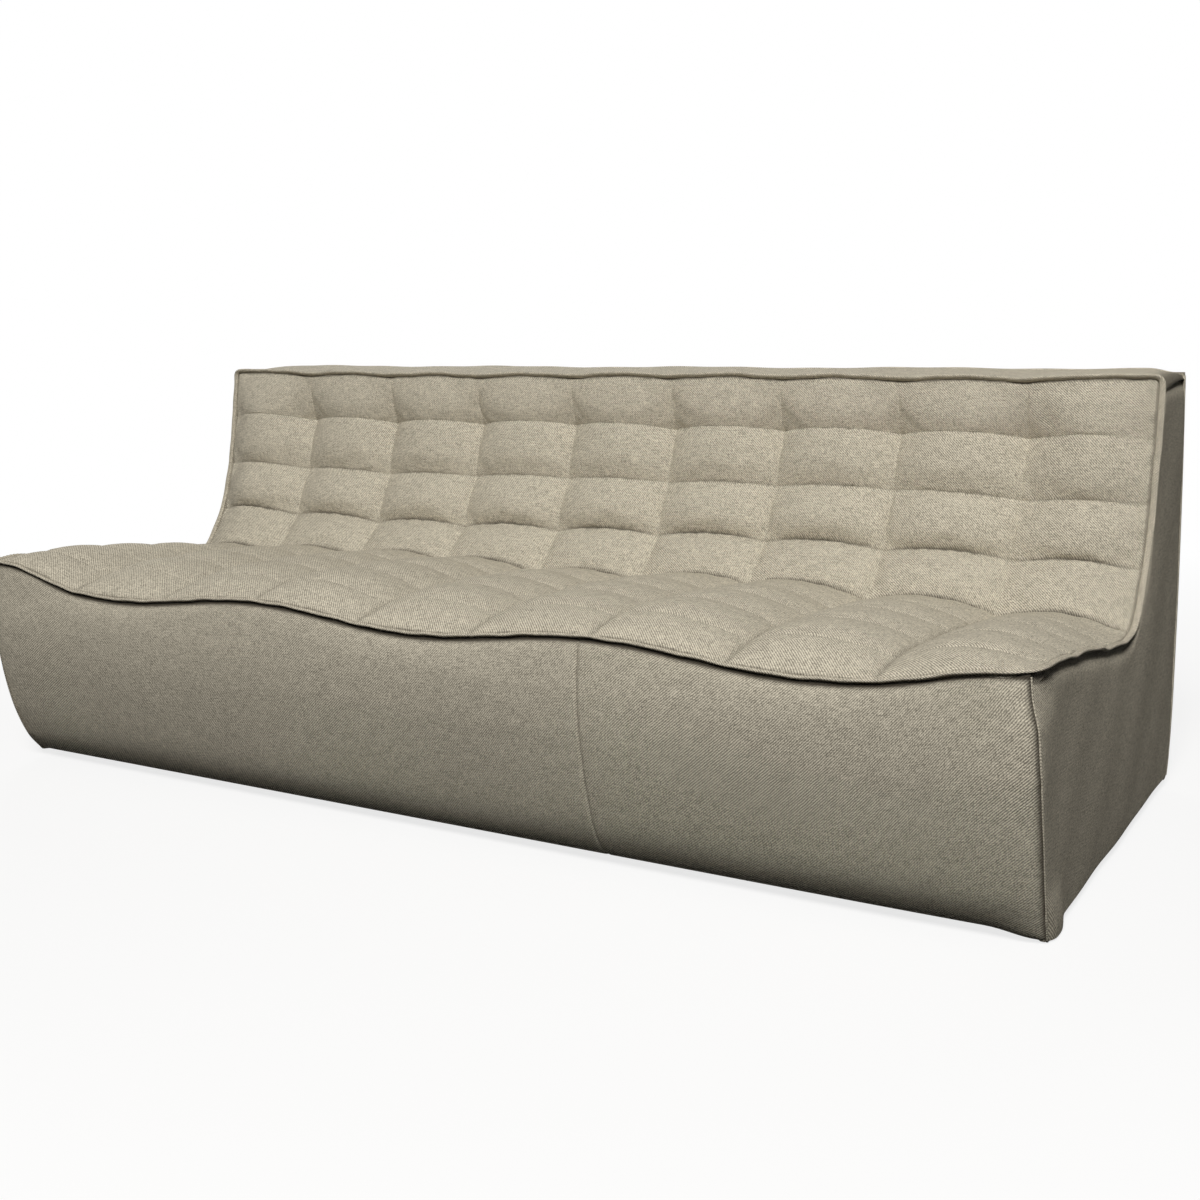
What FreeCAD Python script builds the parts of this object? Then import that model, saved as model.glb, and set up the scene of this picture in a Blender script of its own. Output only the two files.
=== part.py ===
import FreeCAD
import Part
import Sketcher
import math
import os

# Three-seat armless sofa with one continuous quilted cover over seat and back, in millimetres.
# X runs along the sofa, -Y is the front, +Z is up. The origin is on the floor under the middle.

SIZES = {
    # The whole sofa
    "overall_width": 2100,
    "overall_height": 760,
    "seat_depth": 577,
    "back_depth": 333,
    "crease_height": 362,
    "seat_rise": 42,
    "lumbar_height": 538,
    "lower_lean": 29,
    "upper_lean": 5.5,
    # Quilted cover
    "quilt_depth": 55,
    "front_row_depth": 95,
    "tuft_sink": 18,
    "seam_puff": 12,
    "row_seam_lift": 10,
    "cell_puff": 18,
    "front_puff": 24,
    "edge_crest": 402,
    "edge_valley": 372,
    "end_crease_drop": 22,
    "crease_radius": 80,
    "bend_radius": 300,
    # Cloth covers and welt
    "cover_thickness": 2.5,
    "welt_diameter": 9,
    "welt_gap": 0.8,
    "hem_width": 15,
    "front_seam_offset": 333,
    "front_crown": 3,
    "front_bow": 9,
    "front_bow_inset": 15,
    "front_bow_height": 120,
    "front_hem_inset": 80,
    "front_hem_bow": 14,
    "end_draw": 14,
    "end_draw_run": 350,
    "rear_top_draw": 25,
    "rear_hem_draw": 35,
    "rear_bow": 30,
    # Padding
    "side_padding": 50,
    "front_padding": 110,
    "rear_padding": 45,
    "back_foam_depth": 25,
    "top_pad_thickness": 20,
    "fit_gap": 0.3,
    # Timber
    "rail_thickness": 25,
    "rail_height": 160,
    "rib_thickness": 18,
    "top_rail_thickness": 25,
    "stretcher_height": 60,
    "board_thickness": 4,
    "corner_block_leg": 110,
    "corner_block_height": 60,
    # Webbing
    "strap_width": 60,
    "strap_thickness": 2,
    "lengthwise_strap_inset": 90,
    "lengthwise_strap_pitch": 150,
    "back_strap_width": 50,
    # Fasteners
    "dowel_diameter": 8,
    "dowel_length": 50,
    "dowel_inset": 40,
    "bolt_diameter": 8,
    "bolt_head_diameter": 20,
    "bolt_head_height": 4,
    "bolt_inset": 33,
    "bolt_low_height": 50,
    "bolt_pitch": 60,
    "nut_diameter": 17,
    "nut_height": 7,
    # Feet
    "foot_height": 16,
    "foot_diameter": 60,
    "foot_top_diameter": 66,
    "foot_screw_diameter": 5,
    "foot_screw_head": 11,
    "foot_screw_head_height": 3,
    "foot_screw_seat": 8,
    "foot_screw_length": 40,
    "dust_cover_thickness": 1,
}

SEATS = 3
COLUMNS_PER_SEAT = 3
SEAT_ROWS = 4
SIDES = (("left", -1), ("right", 1))
FRONT_SPANS = 48

# Places that several pieces share, as expressions on the sheet
SEAT_WIDTH = f"(Sizes.overall_width / {SEATS})"
HALF_WIDTH = "(Sizes.overall_width / 2)"
FRONT = "(-(Sizes.seat_depth + Sizes.back_depth) / 2)"
REAR = "((Sizes.seat_depth + Sizes.back_depth) / 2)"
CLOTH_HALF = f"({HALF_WIDTH} - Sizes.cover_thickness - Sizes.fit_gap)"
QUILT_HALF = f"({HALF_WIDTH} - Sizes.welt_diameter - Sizes.fit_gap)"
FRAME_HALF = f"({HALF_WIDTH} - Sizes.side_padding)"
FRAME_FRONT = f"({FRONT} + Sizes.front_padding)"
FRAME_REAR = f"({REAR} - Sizes.rear_padding)"
RAIL_BOTTOM = "(Sizes.foot_height + Sizes.dust_cover_thickness)"
RAIL_TOP = f"({RAIL_BOTTOM} + Sizes.rail_height)"
LONG_RAIL_TOP = f"({RAIL_TOP} + Sizes.strap_thickness)"
WEB_TOP = f"({RAIL_TOP} + 2 * Sizes.strap_thickness)"
FRONT_RAIL_REAR = f"({FRAME_FRONT} + Sizes.rail_thickness)"
REAR_RAIL_FRONT = f"({FRAME_REAR} - Sizes.rail_thickness)"
BOARD_REAR = f"({FRAME_REAR} + Sizes.board_thickness)"
BAND_BOTTOM = "(Sizes.overall_height - Sizes.welt_diameter)"
BAND_TOP = f"({BAND_BOTTOM} + Sizes.cover_thickness)"
SOFT_TOP = f"({BAND_BOTTOM} - Sizes.fit_gap)"
HEM_BOTTOM = f"({RAIL_BOTTOM} - Sizes.cover_thickness)"
CROSS_RAIL_INNER = f"({SEAT_WIDTH} / 2 - Sizes.rail_thickness / 2)"
CROSS_RAIL_OUTER = f"({SEAT_WIDTH} / 2 + Sizes.rail_thickness / 2)"
INNER_RIB_OUTER = f"({CROSS_RAIL_OUTER} + Sizes.rib_thickness)"
SIDE_RAIL_INNER = f"({FRAME_HALF} - Sizes.rail_thickness)"
OUTER_RIB_INNER = f"({SIDE_RAIL_INNER} - Sizes.rib_thickness)"

# The quilted cover's underside: a seat line and a back line that bends at the lumbar height
QUILT_FRONT = f"({FRONT} + Sizes.front_crown + Sizes.welt_diameter + Sizes.fit_gap)"
QUILT_LOW_Y = f"({FRONT} + Sizes.seat_depth + Sizes.quilt_depth)"
QUILT_LOW_Z = "(Sizes.crease_height - Sizes.quilt_depth)"
QUILT_MID_Y = f"({QUILT_LOW_Y} + (Sizes.lumbar_height - {QUILT_LOW_Z}) * tan(Sizes.lower_lean))"
SEAT_SLOPE = f"(Sizes.seat_rise / ({QUILT_LOW_Y} - {QUILT_FRONT}))"
RIB_SHIFT = "(Sizes.back_foam_depth + Sizes.fit_gap + Sizes.strap_thickness / cos(Sizes.lower_lean))"
RIB_FRONT = f"({QUILT_LOW_Y} + {RIB_SHIFT})"
TOP_RAIL_TOP = f"({SOFT_TOP} - Sizes.top_pad_thickness)"
RIB_TOP = f"({TOP_RAIL_TOP} - Sizes.top_rail_thickness)"


def lower_line(height):
    """Expression for the depth of the back line below the lumbar bend."""
    return f"({QUILT_MID_Y} + ({height} - Sizes.lumbar_height) * tan(Sizes.lower_lean))"


def upper_line(height):
    """Expression for the depth of the back line above the lumbar bend."""
    return f"({QUILT_MID_Y} + ({height} - Sizes.lumbar_height) * tan(Sizes.upper_lean))"


def seat_line(depth):
    """Expression for the height of the seat line at a depth."""
    return f"({QUILT_LOW_Z} + ({QUILT_LOW_Y} - {depth}) * {SEAT_SLOPE})"


TOP_RAIL_FRONT = f"({upper_line(TOP_RAIL_TOP)} + {RIB_SHIFT})"

doc = FreeCAD.newDocument("Sofa")
sheet = doc.addObject("Spreadsheet::Sheet", "Sizes")
for row, (alias, number) in enumerate(SIZES.items(), start=1):
    sheet.set(f"A{row}", alias)
    sheet.set(f"B{row}", str(number))
    sheet.setAlias(f"B{row}", alias)
doc.recompute()

nodes = []


def value(expression):
    """Number that an expression on the sheet gives."""
    return float(sheet.evalExpression(expression))


def size(alias):
    """Number in one cell of the sheet."""
    return float(sheet.get(alias))


def keep(shape_object, label):
    """Name an object as one sub-part of the sofa."""
    shape_object.Label = label
    nodes.append(shape_object)
    return shape_object


def place(shape_object, x="0", y="0", z="0", axis=None, angle="0"):
    """Bind an object's place, and its turn about an axis, to expressions."""
    if axis is not None:
        shape_object.Placement = FreeCAD.Placement(FreeCAD.Vector(), FreeCAD.Rotation(axis, value(angle)))
    for name, expression in (("x", x), ("y", y), ("z", z)):
        shape_object.setExpression(f"Placement.Base.{name}", expression)
    return shape_object


def box(name, x, y, z):
    """Box between pairs of expressions along the three axes."""
    solid = doc.addObject("Part::Box", name)
    for side, (low, high) in (("Length", x), ("Width", y), ("Height", z)):
        solid.setExpression(side, f"{high} - {low}")
    return place(solid, x[0], y[0], z[0])


def polygon(body, role, corners):
    """Sketch of straight lines on one origin plane, each corner bound to two expressions."""
    sketch = body.newObject("Sketcher::SketchObject", body.Name + "Sketch")
    plane = next(item for item in body.Origin.OriginFeatures if item.Role == role)
    sketch.AttachmentSupport = (plane, "")
    sketch.MapMode = "FlatFace"
    points = [FreeCAD.Vector(value(across), value(up), 0) for across, up in corners]
    for index, point in enumerate(points):
        sketch.addGeometry(Part.LineSegment(point, points[(index + 1) % len(points)]), False)
    for index in range(len(points)):
        sketch.addConstraint(Sketcher.Constraint("Coincident", index, 2, (index + 1) % len(points), 1))
    for index, (corner, point) in enumerate(zip(corners, points)):
        for kind, expression, number in zip(("DistanceX", "DistanceY"), corner, point):
            number = sketch.addConstraint(Sketcher.Constraint(kind, -1, 1, index, 1, number))
            sketch.setExpression(f"Constraints[{number}]", expression)
    return sketch


def prism(name, role, corners, length, x="0", y="0", z="0"):
    """Body padded from a polygon on an origin plane."""
    body = doc.addObject("PartDesign::Body", name)
    pad = body.newObject("PartDesign::Pad", name + "Pad")
    pad.Profile = polygon(body, role, corners)
    pad.setExpression("Length", length)
    return place(body, x, y, z)


def turned(name, corners, x, y, z, axis=None, angle="0"):
    """Body turned about Z from a half profile of (radius, height) corners."""
    body = doc.addObject("PartDesign::Body", name)
    turning = body.newObject("PartDesign::Revolution", name + "Turning")
    turning.Profile = polygon(body, "XZ_Plane", corners)
    turning.ReferenceAxis = (next(item for item in body.Origin.OriginFeatures if item.Role == "Z_Axis"), "")
    turning.Angle = 360
    return place(body, x, y, z, axis, angle)


def group(name, members):
    """One object that holds several separate solids."""
    compound = doc.addObject("Part::Compound", name)
    compound.Links = members
    return compound


def drilled(label, blank, fasteners):
    """Timber piece with the holes that its fasteners fill."""
    cut = doc.addObject("Part::Cut", label)
    cut.Base = blank
    cut.Tool = fasteners
    return keep(cut, label)


def corner_post(side, front):
    """Inner corner of the base frame, as X and Y expressions; the ribs take room at the rear."""
    x = SIDE_RAIL_INNER if front else OUTER_RIB_INNER
    return f"{side} * {x}", FRONT_RAIL_REAR if front else REAR_RAIL_FRONT


def foot_places():
    """Name and place of each foot: under the corner blocks and under the cross rails."""
    reach = "Sizes.corner_block_leg / 3"
    for row_name, front in (("front", True), ("rear", False)):
        for side_name, side in SIDES:
            x, y = corner_post(side, front)
            y = f"{y} + {1 if front else -1} * {reach}"
            yield f"{row_name}_{side_name}", f"{x} - {side} * {reach}", y
            yield f"{row_name}_middle_{side_name}", f"{side} * {SEAT_WIDTH} / 2", y


def make_fasteners():
    """Dowels, bolts, nuts and foot screws; returns them in one group for drilling."""
    dowels = []
    low = f"{RAIL_BOTTOM} + Sizes.dowel_inset"
    high = f"{RAIL_TOP} - Sizes.dowel_inset"
    rail_centres = [f"{FRAME_HALF} - Sizes.rail_thickness / 2", f"{SEAT_WIDTH} / 2"]
    for _, side in SIDES:
        for centre in rail_centres:
            for joint in (FRONT_RAIL_REAR, REAR_RAIL_FRONT):
                for height in (low, high):
                    y = f"{joint} - Sizes.dowel_length / 2"
                    dowels.append(dowel(f"{side} * ({centre})", y, height, FreeCAD.Vector(1, 0, 0), "-90"))
        for inner in (OUTER_RIB_INNER, CROSS_RAIL_OUTER):
            x = f"{side} * ({inner} + Sizes.rib_thickness / 2)"
            y = f"({TOP_RAIL_FRONT} + {FRAME_REAR}) / 2"
            z = f"{TOP_RAIL_TOP} - Sizes.dowel_diameter - Sizes.dowel_length"
            dowels.append(dowel(x, y, z, FreeCAD.Vector(0, 0, 1), "0"))
    keep(group("frame_dowels", dowels), "frame_dowels")

    bolts, nuts = [], []
    for side_name, side in SIDES:
        joints = (("outer", FRAME_HALF, -side), ("inner", CROSS_RAIL_INNER, side))
        for rib_name, head_face, way in joints:
            for level in range(2):
                name = f"{rib_name}_{side_name}_{level}"
                y = f"{RIB_FRONT} + Sizes.bolt_inset"
                z = f"{RAIL_BOTTOM} + Sizes.bolt_low_height + {level} * Sizes.bolt_pitch"
                axis = FreeCAD.Vector(0, 1, 0)
                grip = "(Sizes.rail_thickness + Sizes.rib_thickness)"
                bolts.append(bolt("bolt_" + name, f"{side} * {head_face}", y, z, axis, way, grip))
                nut_x = f"{side} * {head_face} + {way} * {grip}"
                nuts.append(nut("nut_" + name, nut_x, y, z, axis, way))
    keep(group("rib_bolts", bolts), "rib_bolts")
    keep(group("rib_nuts", nuts), "rib_nuts")

    screws = [foot_screw(name, x, y) for name, x, y in foot_places()]
    keep(group("foot_screws", screws), "foot_screws")
    return group("fasteners", dowels + bolts + screws)


def dowel(x, y, z, axis, angle):
    """One beech dowel that starts at a place and runs along its turned axis."""
    pin = doc.addObject("Part::Cylinder", "dowel")
    pin.setExpression("Radius", "Sizes.dowel_diameter / 2")
    pin.setExpression("Height", "Sizes.dowel_length")
    return place(pin, x, y, z, axis, angle)


def bolt(name, x, y, z, axis, way, grip):
    """One bolt with its head let in flush, running along +X or -X."""
    shank, head = "Sizes.bolt_diameter / 2", "Sizes.bolt_head_diameter / 2"
    tip = f"{grip} + Sizes.nut_height"
    corners = [("0", "0"), (head, "0"), (head, "Sizes.bolt_head_height"),
               (shank, "Sizes.bolt_head_height"), (shank, tip), ("0", tip)]
    return turned(name, corners, x, y, z, axis, f"{way} * 90")


def nut(name, x, y, z, axis, way):
    """One round flange nut on a bolt's tip."""
    bore, rim = "Sizes.bolt_diameter / 2", "Sizes.nut_diameter / 2"
    corners = [(bore, "0"), (rim, "0"), (rim, "Sizes.nut_height"), (bore, "Sizes.nut_height")]
    return turned(name, corners, x, y, z, axis, f"{way} * 90")


def foot_screw(name, x, y):
    """One screw that holds a foot to the timber above it."""
    shank, head = "Sizes.foot_screw_diameter / 2", "Sizes.foot_screw_head / 2"
    bottom = "Sizes.foot_screw_seat - Sizes.foot_screw_head_height"
    tip = "Sizes.foot_screw_seat + Sizes.foot_screw_length"
    corners = [("0", bottom), (head, bottom), (head, "Sizes.foot_screw_seat"),
               (shank, "Sizes.foot_screw_seat"), (shank, tip), ("0", tip)]
    return turned("foot_screw_" + name, corners, x, y, "0")


def make_feet():
    """Low round glides with a stepped bore for their screw."""
    shank, head = "Sizes.foot_screw_diameter / 2", "Sizes.foot_screw_head / 2"
    corners = [(head, "0"), ("Sizes.foot_diameter / 2", "0"),
               ("Sizes.foot_top_diameter / 2", "Sizes.foot_height"), (shank, "Sizes.foot_height"),
               (shank, "Sizes.foot_screw_seat"), (head, "Sizes.foot_screw_seat")]
    for name, x, y in foot_places():
        keep(turned("foot_" + name, corners, x, y, "0"), "foot_" + name)


def make_base(fasteners):
    """Box frame under the seat."""
    long_x = (f"-{FRAME_HALF}", FRAME_HALF)
    long_z = (RAIL_BOTTOM, LONG_RAIL_TOP)
    drilled("front_rail", box("front_blank", long_x, (FRAME_FRONT, FRONT_RAIL_REAR), long_z), fasteners)
    drilled("rear_rail", box("rear_blank", long_x, (REAR_RAIL_FRONT, FRAME_REAR), long_z), fasteners)
    short_y, short_z = (FRONT_RAIL_REAR, REAR_RAIL_FRONT), (RAIL_BOTTOM, RAIL_TOP)
    for name, side in SIDES:
        edges = (SIDE_RAIL_INNER, FRAME_HALF)
        blank = box(f"side_blank_{name}", signed(edges, side), short_y, short_z)
        drilled(f"side_rail_{name}", blank, fasteners)
        edges = (CROSS_RAIL_INNER, CROSS_RAIL_OUTER)
        blank = box(f"cross_blank_{name}", signed(edges, side), short_y, short_z)
        drilled(f"cross_rail_{name}", blank, fasteners)
        for row_name, front in (("front", True), ("rear", False)):
            x, y = corner_post(side, front)
            reach_y = f"{y} + {1 if front else -1} * Sizes.corner_block_leg"
            corners = [(x, y), (f"{x} - {side} * Sizes.corner_block_leg", y), (x, reach_y)]
            blank = prism(f"block_{row_name}_{name}", "XY_Plane", corners,
                          "Sizes.corner_block_height", z=RAIL_BOTTOM)
            drilled(f"corner_block_{row_name}_{name}", blank, fasteners)


def signed(edges, side):
    """Pair of expressions on one side of the middle, in rising order."""
    low, high = edges
    return (low, high) if side > 0 else (f"-{high}", f"-{low}")


def make_back(fasteners):
    """Shaped ribs with the rails and the board that tie them."""
    corners = [
        (RIB_FRONT, RAIL_BOTTOM),
        (REAR_RAIL_FRONT, RAIL_BOTTOM),
        (REAR_RAIL_FRONT, LONG_RAIL_TOP),
        (FRAME_REAR, LONG_RAIL_TOP),
        (FRAME_REAR, RIB_TOP),
        (f"{upper_line(RIB_TOP)} + {RIB_SHIFT}", RIB_TOP),
        (f"{QUILT_MID_Y} + {RIB_SHIFT}", "Sizes.lumbar_height"),
        (RIB_FRONT, QUILT_LOW_Z),
    ]
    stretcher_y = (REAR_RAIL_FRONT, FRAME_REAR)
    stretcher_z = tuple(f"(Sizes.lumbar_height {sign} Sizes.stretcher_height / 2)" for sign in "-+")
    for name, side in SIDES:
        for rib_name, inner in (("outer", OUTER_RIB_INNER), ("inner", CROSS_RAIL_OUTER)):
            low, _ = signed((inner, f"({inner} + Sizes.rib_thickness)"), side)
            blank = prism(f"rib_{rib_name}_{name}", "YZ_Plane", corners, "Sizes.rib_thickness", x=low)
            drilled(f"back_rib_{rib_name}_{name}", blank, fasteners)
        span = signed((INNER_RIB_OUTER, OUTER_RIB_INNER), side)
        keep(box(f"stretcher_{name}", span, stretcher_y, stretcher_z), f"back_stretcher_{name}")
    span = (f"-{CROSS_RAIL_OUTER}", CROSS_RAIL_OUTER)
    keep(box("stretcher_middle", span, stretcher_y, stretcher_z), "back_stretcher_middle")
    long_x = (f"-{FRAME_HALF}", FRAME_HALF)
    blank = box("top_blank", long_x, (TOP_RAIL_FRONT, FRAME_REAR), (RIB_TOP, TOP_RAIL_TOP))
    drilled("back_top_rail", blank, fasteners)
    keep(box("board", long_x, (FRAME_REAR, BOARD_REAR), (RAIL_BOTTOM, TOP_RAIL_TOP)), "back_board")


def make_webbing():
    """Straps under the seat, front to back over lengthwise, and across the front of the ribs."""
    straps = []
    for column in range(SEATS * COLUMNS_PER_SEAT):
        seat, place_in_seat = divmod(column, COLUMNS_PER_SEAT)
        centre = f"{SEAT_WIDTH} * ({seat - 1} + {place_in_seat - 1} / 4)"
        x = tuple(f"({centre} {sign} Sizes.strap_width / 2)" for sign in "-+")
        straps.append(box("seat_strap", x, (FRAME_FRONT, FRAME_REAR), (LONG_RAIL_TOP, WEB_TOP)))
    keep(group("seat_straps", straps), "seat_straps")

    long_x = (f"-{FRAME_HALF}", FRAME_HALF)
    straps = []
    for index in range(3):
        centre = f"{FRONT_RAIL_REAR} + Sizes.lengthwise_strap_inset + {index} * Sizes.lengthwise_strap_pitch"
        y = tuple(f"({centre} {sign} Sizes.strap_width / 2)" for sign in "-+")
        straps.append(box("lengthwise_strap", long_x, y, (RAIL_TOP, LONG_RAIL_TOP)))
    keep(group("lengthwise_straps", straps), "lengthwise_straps")

    straps = []
    runs = ((lower_line, "Sizes.lower_lean", QUILT_LOW_Z, 2), (upper_line, "Sizes.upper_lean", RIB_TOP, 1))
    for line, lean, run_end, count in runs:
        for index in range(1, count + 1):
            centre = f"Sizes.lumbar_height + ({run_end} - Sizes.lumbar_height) * {index} / {count + 1}"
            bottom = f"({centre} - Sizes.back_strap_width / 2 * cos({lean}))"
            strap = doc.addObject("Part::Box", "back_strap")
            strap.setExpression("Length", f"2 * {FRAME_HALF}")
            strap.setExpression("Width", "Sizes.strap_thickness")
            strap.setExpression("Height", "Sizes.back_strap_width")
            y = f"{line(bottom)} + Sizes.back_foam_depth + Sizes.fit_gap"
            straps.append(place(strap, f"-{FRAME_HALF}", y, bottom, FreeCAD.Vector(-1, 0, 0), lean))
    keep(group("back_straps", straps), "back_straps")


def make_foam():
    """Blocks of foam between the frame and the covers."""
    seat_corners = [
        (FRAME_FRONT, WEB_TOP),
        (f"{RIB_FRONT} - Sizes.fit_gap", WEB_TOP),
        (f"{RIB_FRONT} - Sizes.fit_gap", f"{QUILT_LOW_Z} - Sizes.fit_gap"),
        (QUILT_LOW_Y, f"{QUILT_LOW_Z} - Sizes.fit_gap"),
        (FRAME_FRONT, f"{seat_line(FRAME_FRONT)} - Sizes.fit_gap"),
    ]
    lean = [
        (QUILT_LOW_Y, QUILT_LOW_Z),
        (QUILT_MID_Y, "Sizes.lumbar_height"),
        (upper_line(SOFT_TOP), SOFT_TOP),
    ]
    back_corners = [(f"{y} + Sizes.fit_gap", z) for y, z in lean]
    back_corners += [(f"{y} + Sizes.back_foam_depth", z) for y, z in reversed(lean)]
    block = f"(2 * {FRAME_HALF} / {SEATS})"
    for seat, name in enumerate(("left", "middle", "right")):
        x = f"-{FRAME_HALF} + {seat} * {block} + Sizes.fit_gap / 2"
        length = f"{block} - Sizes.fit_gap"
        keep(prism(f"seat_block_{name}", "YZ_Plane", seat_corners, length, x=x), f"seat_foam_{name}")
        keep(prism(f"back_slab_{name}", "YZ_Plane", back_corners, length, x=x), f"back_foam_{name}")

    side_corners = [
        (FRAME_FRONT, RAIL_BOTTOM),
        (BOARD_REAR, RAIL_BOTTOM),
        (BOARD_REAR, SOFT_TOP),
        (f"{upper_line(SOFT_TOP)} + Sizes.fit_gap", SOFT_TOP),
        (f"{QUILT_MID_Y} + Sizes.fit_gap", "Sizes.lumbar_height"),
        (f"{QUILT_LOW_Y} + Sizes.fit_gap", f"{QUILT_LOW_Z} - Sizes.fit_gap"),
        (FRAME_FRONT, f"{seat_line(FRAME_FRONT)} - Sizes.fit_gap"),
    ]
    for name, side in SIDES:
        low, _ = signed((FRAME_HALF, CLOTH_HALF), side)
        length = f"{CLOTH_HALF} - {FRAME_HALF}"
        keep(prism(f"end_pad_{name}", "YZ_Plane", side_corners, length, x=low), f"end_pad_{name}")
    long_x = (f"-{FRAME_HALF}", FRAME_HALF)
    keep(box("top_strip", long_x, (TOP_RAIL_FRONT, BOARD_REAR), (TOP_RAIL_TOP, SOFT_TOP)), "top_pad")


def feature(label, shape):
    """Sub-part whose solid comes from a loft, a sweep or an outline."""
    item = doc.addObject("Part::Feature", label)
    item.Shape = shape
    return keep(item, label)


def outline(x, corners):
    """Closed wire across the sofa at x.

    Each corner is (y, z, rise): the edge that leaves it is straight, or an arc that stands that far
    off its chord to the right of travel.
    """
    edges = []
    for index, (y, z, rise) in enumerate(corners):
        next_y, next_z, _ = corners[(index + 1) % len(corners)]
        start, end = FreeCAD.Vector(x, y, z), FreeCAD.Vector(x, next_y, next_z)
        if rise == 0:
            edges.append(Part.LineSegment(start, end).toShape())
            continue
        right = FreeCAD.Vector(0, next_z - z, y - next_y).normalize()
        edges.append(Part.Arc(start, (start + end) / 2 + right * rise, end).toShape())
    return Part.Wire(edges)


def edge_height(x):
    """Height of the quilt's front edge: one wave per seat, of two equal arcs per half wave.

    Each arc is tangent to the level at its crest or valley and meets the next half way down.
    """
    half_wave = value(SEAT_WIDTH) / 2
    fall = size("edge_crest") - size("edge_valley")
    radius = (half_wave ** 2 + fall ** 2) / (4 * fall)
    run = abs((x + half_wave) % (2 * half_wave) - half_wave)
    from_end = min(run, half_wave - run)
    drop = radius - math.sqrt(radius ** 2 - from_end ** 2)
    return size("edge_valley") + drop if run < half_wave / 2 else size("edge_crest") - drop


def tuft_line():
    """Tuft rows (y, z) from the top edge down the back and forward to the last row of the seat."""
    depth = size("quilt_depth")
    top = (value(upper_line(SOFT_TOP)) - depth, value(SOFT_TOP))
    bend = (value(QUILT_MID_Y) - depth, size("lumbar_height"))
    crease = (value(QUILT_LOW_Y) - depth, size("crease_height"))
    rows = [top, sunk(top, bend), bend, sunk(bend, crease), crease]
    front = (value(FRONT) + size("front_row_depth"), size("crease_height") + size("seat_rise"))
    for row in range(1, SEAT_ROWS + 1):
        share = row / SEAT_ROWS
        rows.append((crease[0] + share * (front[0] - crease[0]), crease[1] + share * (front[1] - crease[1])))
    return rows


def sunk(start, end):
    """Tuft half way between two others, pulled in behind their chord."""
    across, up = end[0] - start[0], end[1] - start[1]
    pull = size("tuft_sink") / math.hypot(across, up)
    return (start[0] + end[0]) / 2 - up * pull, (start[1] + end[1]) / 2 + across * pull


def quilt_section(x, lift, puff, front_puff):
    """Wire across the quilted cover: its tuft rows stand off their line, with an arc over each cell."""
    rows = tuft_line()
    corners = [(*rows[0], puff)]
    for before, row, after in zip(rows, rows[1:], rows[2:] + [(value(QUILT_FRONT), edge_height(x))]):
        across, up = after[0] - before[0], after[1] - before[1]
        stand = lift / math.hypot(across, up)
        corners.append((row[0] + up * stand, row[1] - across * stand, puff))
    corners[-1] = (*corners[-1][:2], front_puff)
    front_y = value(QUILT_FRONT)
    corners.append((front_y, edge_height(x), 0))
    corners.append((front_y, value(seat_line(QUILT_FRONT)), 0))
    corners.append((value(QUILT_LOW_Y), value(QUILT_LOW_Z), 0))
    corners.append((value(QUILT_MID_Y), size("lumbar_height"), 0))
    corners.append((value(upper_line(SOFT_TOP)), value(SOFT_TOP), 0))
    return outline(x, corners)


def make_quilt():
    """Tufted cover of pillowed cells: each column is lofted seam to crown to seam, then all are joined."""
    columns = SEATS * COLUMNS_PER_SEAT
    pitch = 2 * value(QUILT_HALF) / columns
    seam_shape = (0, size("seam_puff"), size("front_puff") - size("cell_puff") + size("seam_puff"))
    crown_shape = (size("row_seam_lift"), size("cell_puff"), size("front_puff"))
    pillows = []
    for column in range(columns):
        left = -value(QUILT_HALF) + column * pitch
        sections = [quilt_section(left, *seam_shape),
                    quilt_section(left + pitch / 2, *crown_shape),
                    quilt_section(left + pitch, *seam_shape)]
        pillows.append(Part.makeLoft(sections, True, False))
    feature("quilted_cover", pillows[0].multiFuse(pillows[1:]))


def front_line(x):
    """Outer line of the front cover at x: top edge, shoulder, bow and hem, drawn in towards the ends."""
    past = abs(x) - (value(HALF_WIDTH) - size("end_draw_run"))
    draw = size("end_draw") * max(0, past / size("end_draw_run")) ** 2
    front = value(FRONT)
    top = edge_height(x) - size("welt_diameter") - size("welt_gap")
    return [
        (front + size("front_crown"), top, 0),
        (front + size("front_crown"), value(seat_line(QUILT_FRONT)), size("front_bow")),
        (front + size("front_bow_inset") + draw, size("front_bow_height"), size("front_hem_bow")),
        (front + size("front_hem_inset") + draw, value(HEM_BOTTOM), 0),
    ]


def cover_section(x, line, hem_end):
    """Closed loop of a cover: its outer line, the hem under the rail, and back along the inside."""
    cloth = size("cover_thickness")
    way = math.copysign(1, hem_end - line[-1][0])
    inside = [(y + way * cloth, z, -rise) for y, z, rise in line]
    inside[-1] = (line[-1][0] + way * cloth / 2, value(RAIL_BOTTOM), 0)
    back = [(y, z, before[2]) for (y, z, _), before in zip(inside[::-1], inside[-2::-1] + [(0, 0, 0)])]
    hem = [(hem_end, value(HEM_BOTTOM), 0), (hem_end, value(RAIL_BOTTOM), 0)]
    return outline(x, line + hem + back)


def stations(start, end):
    """Places along the front from start to end, on one grid that its pad and covers share."""
    ends = value(CLOTH_HALF)
    step = 2 * ends / FRONT_SPANS
    grid = [-ends + step * index for index in range(FRONT_SPANS + 1)]
    inner = [x for x in grid if start + step / 3 < x < end - step / 3]
    return [start, *inner, end]


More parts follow.
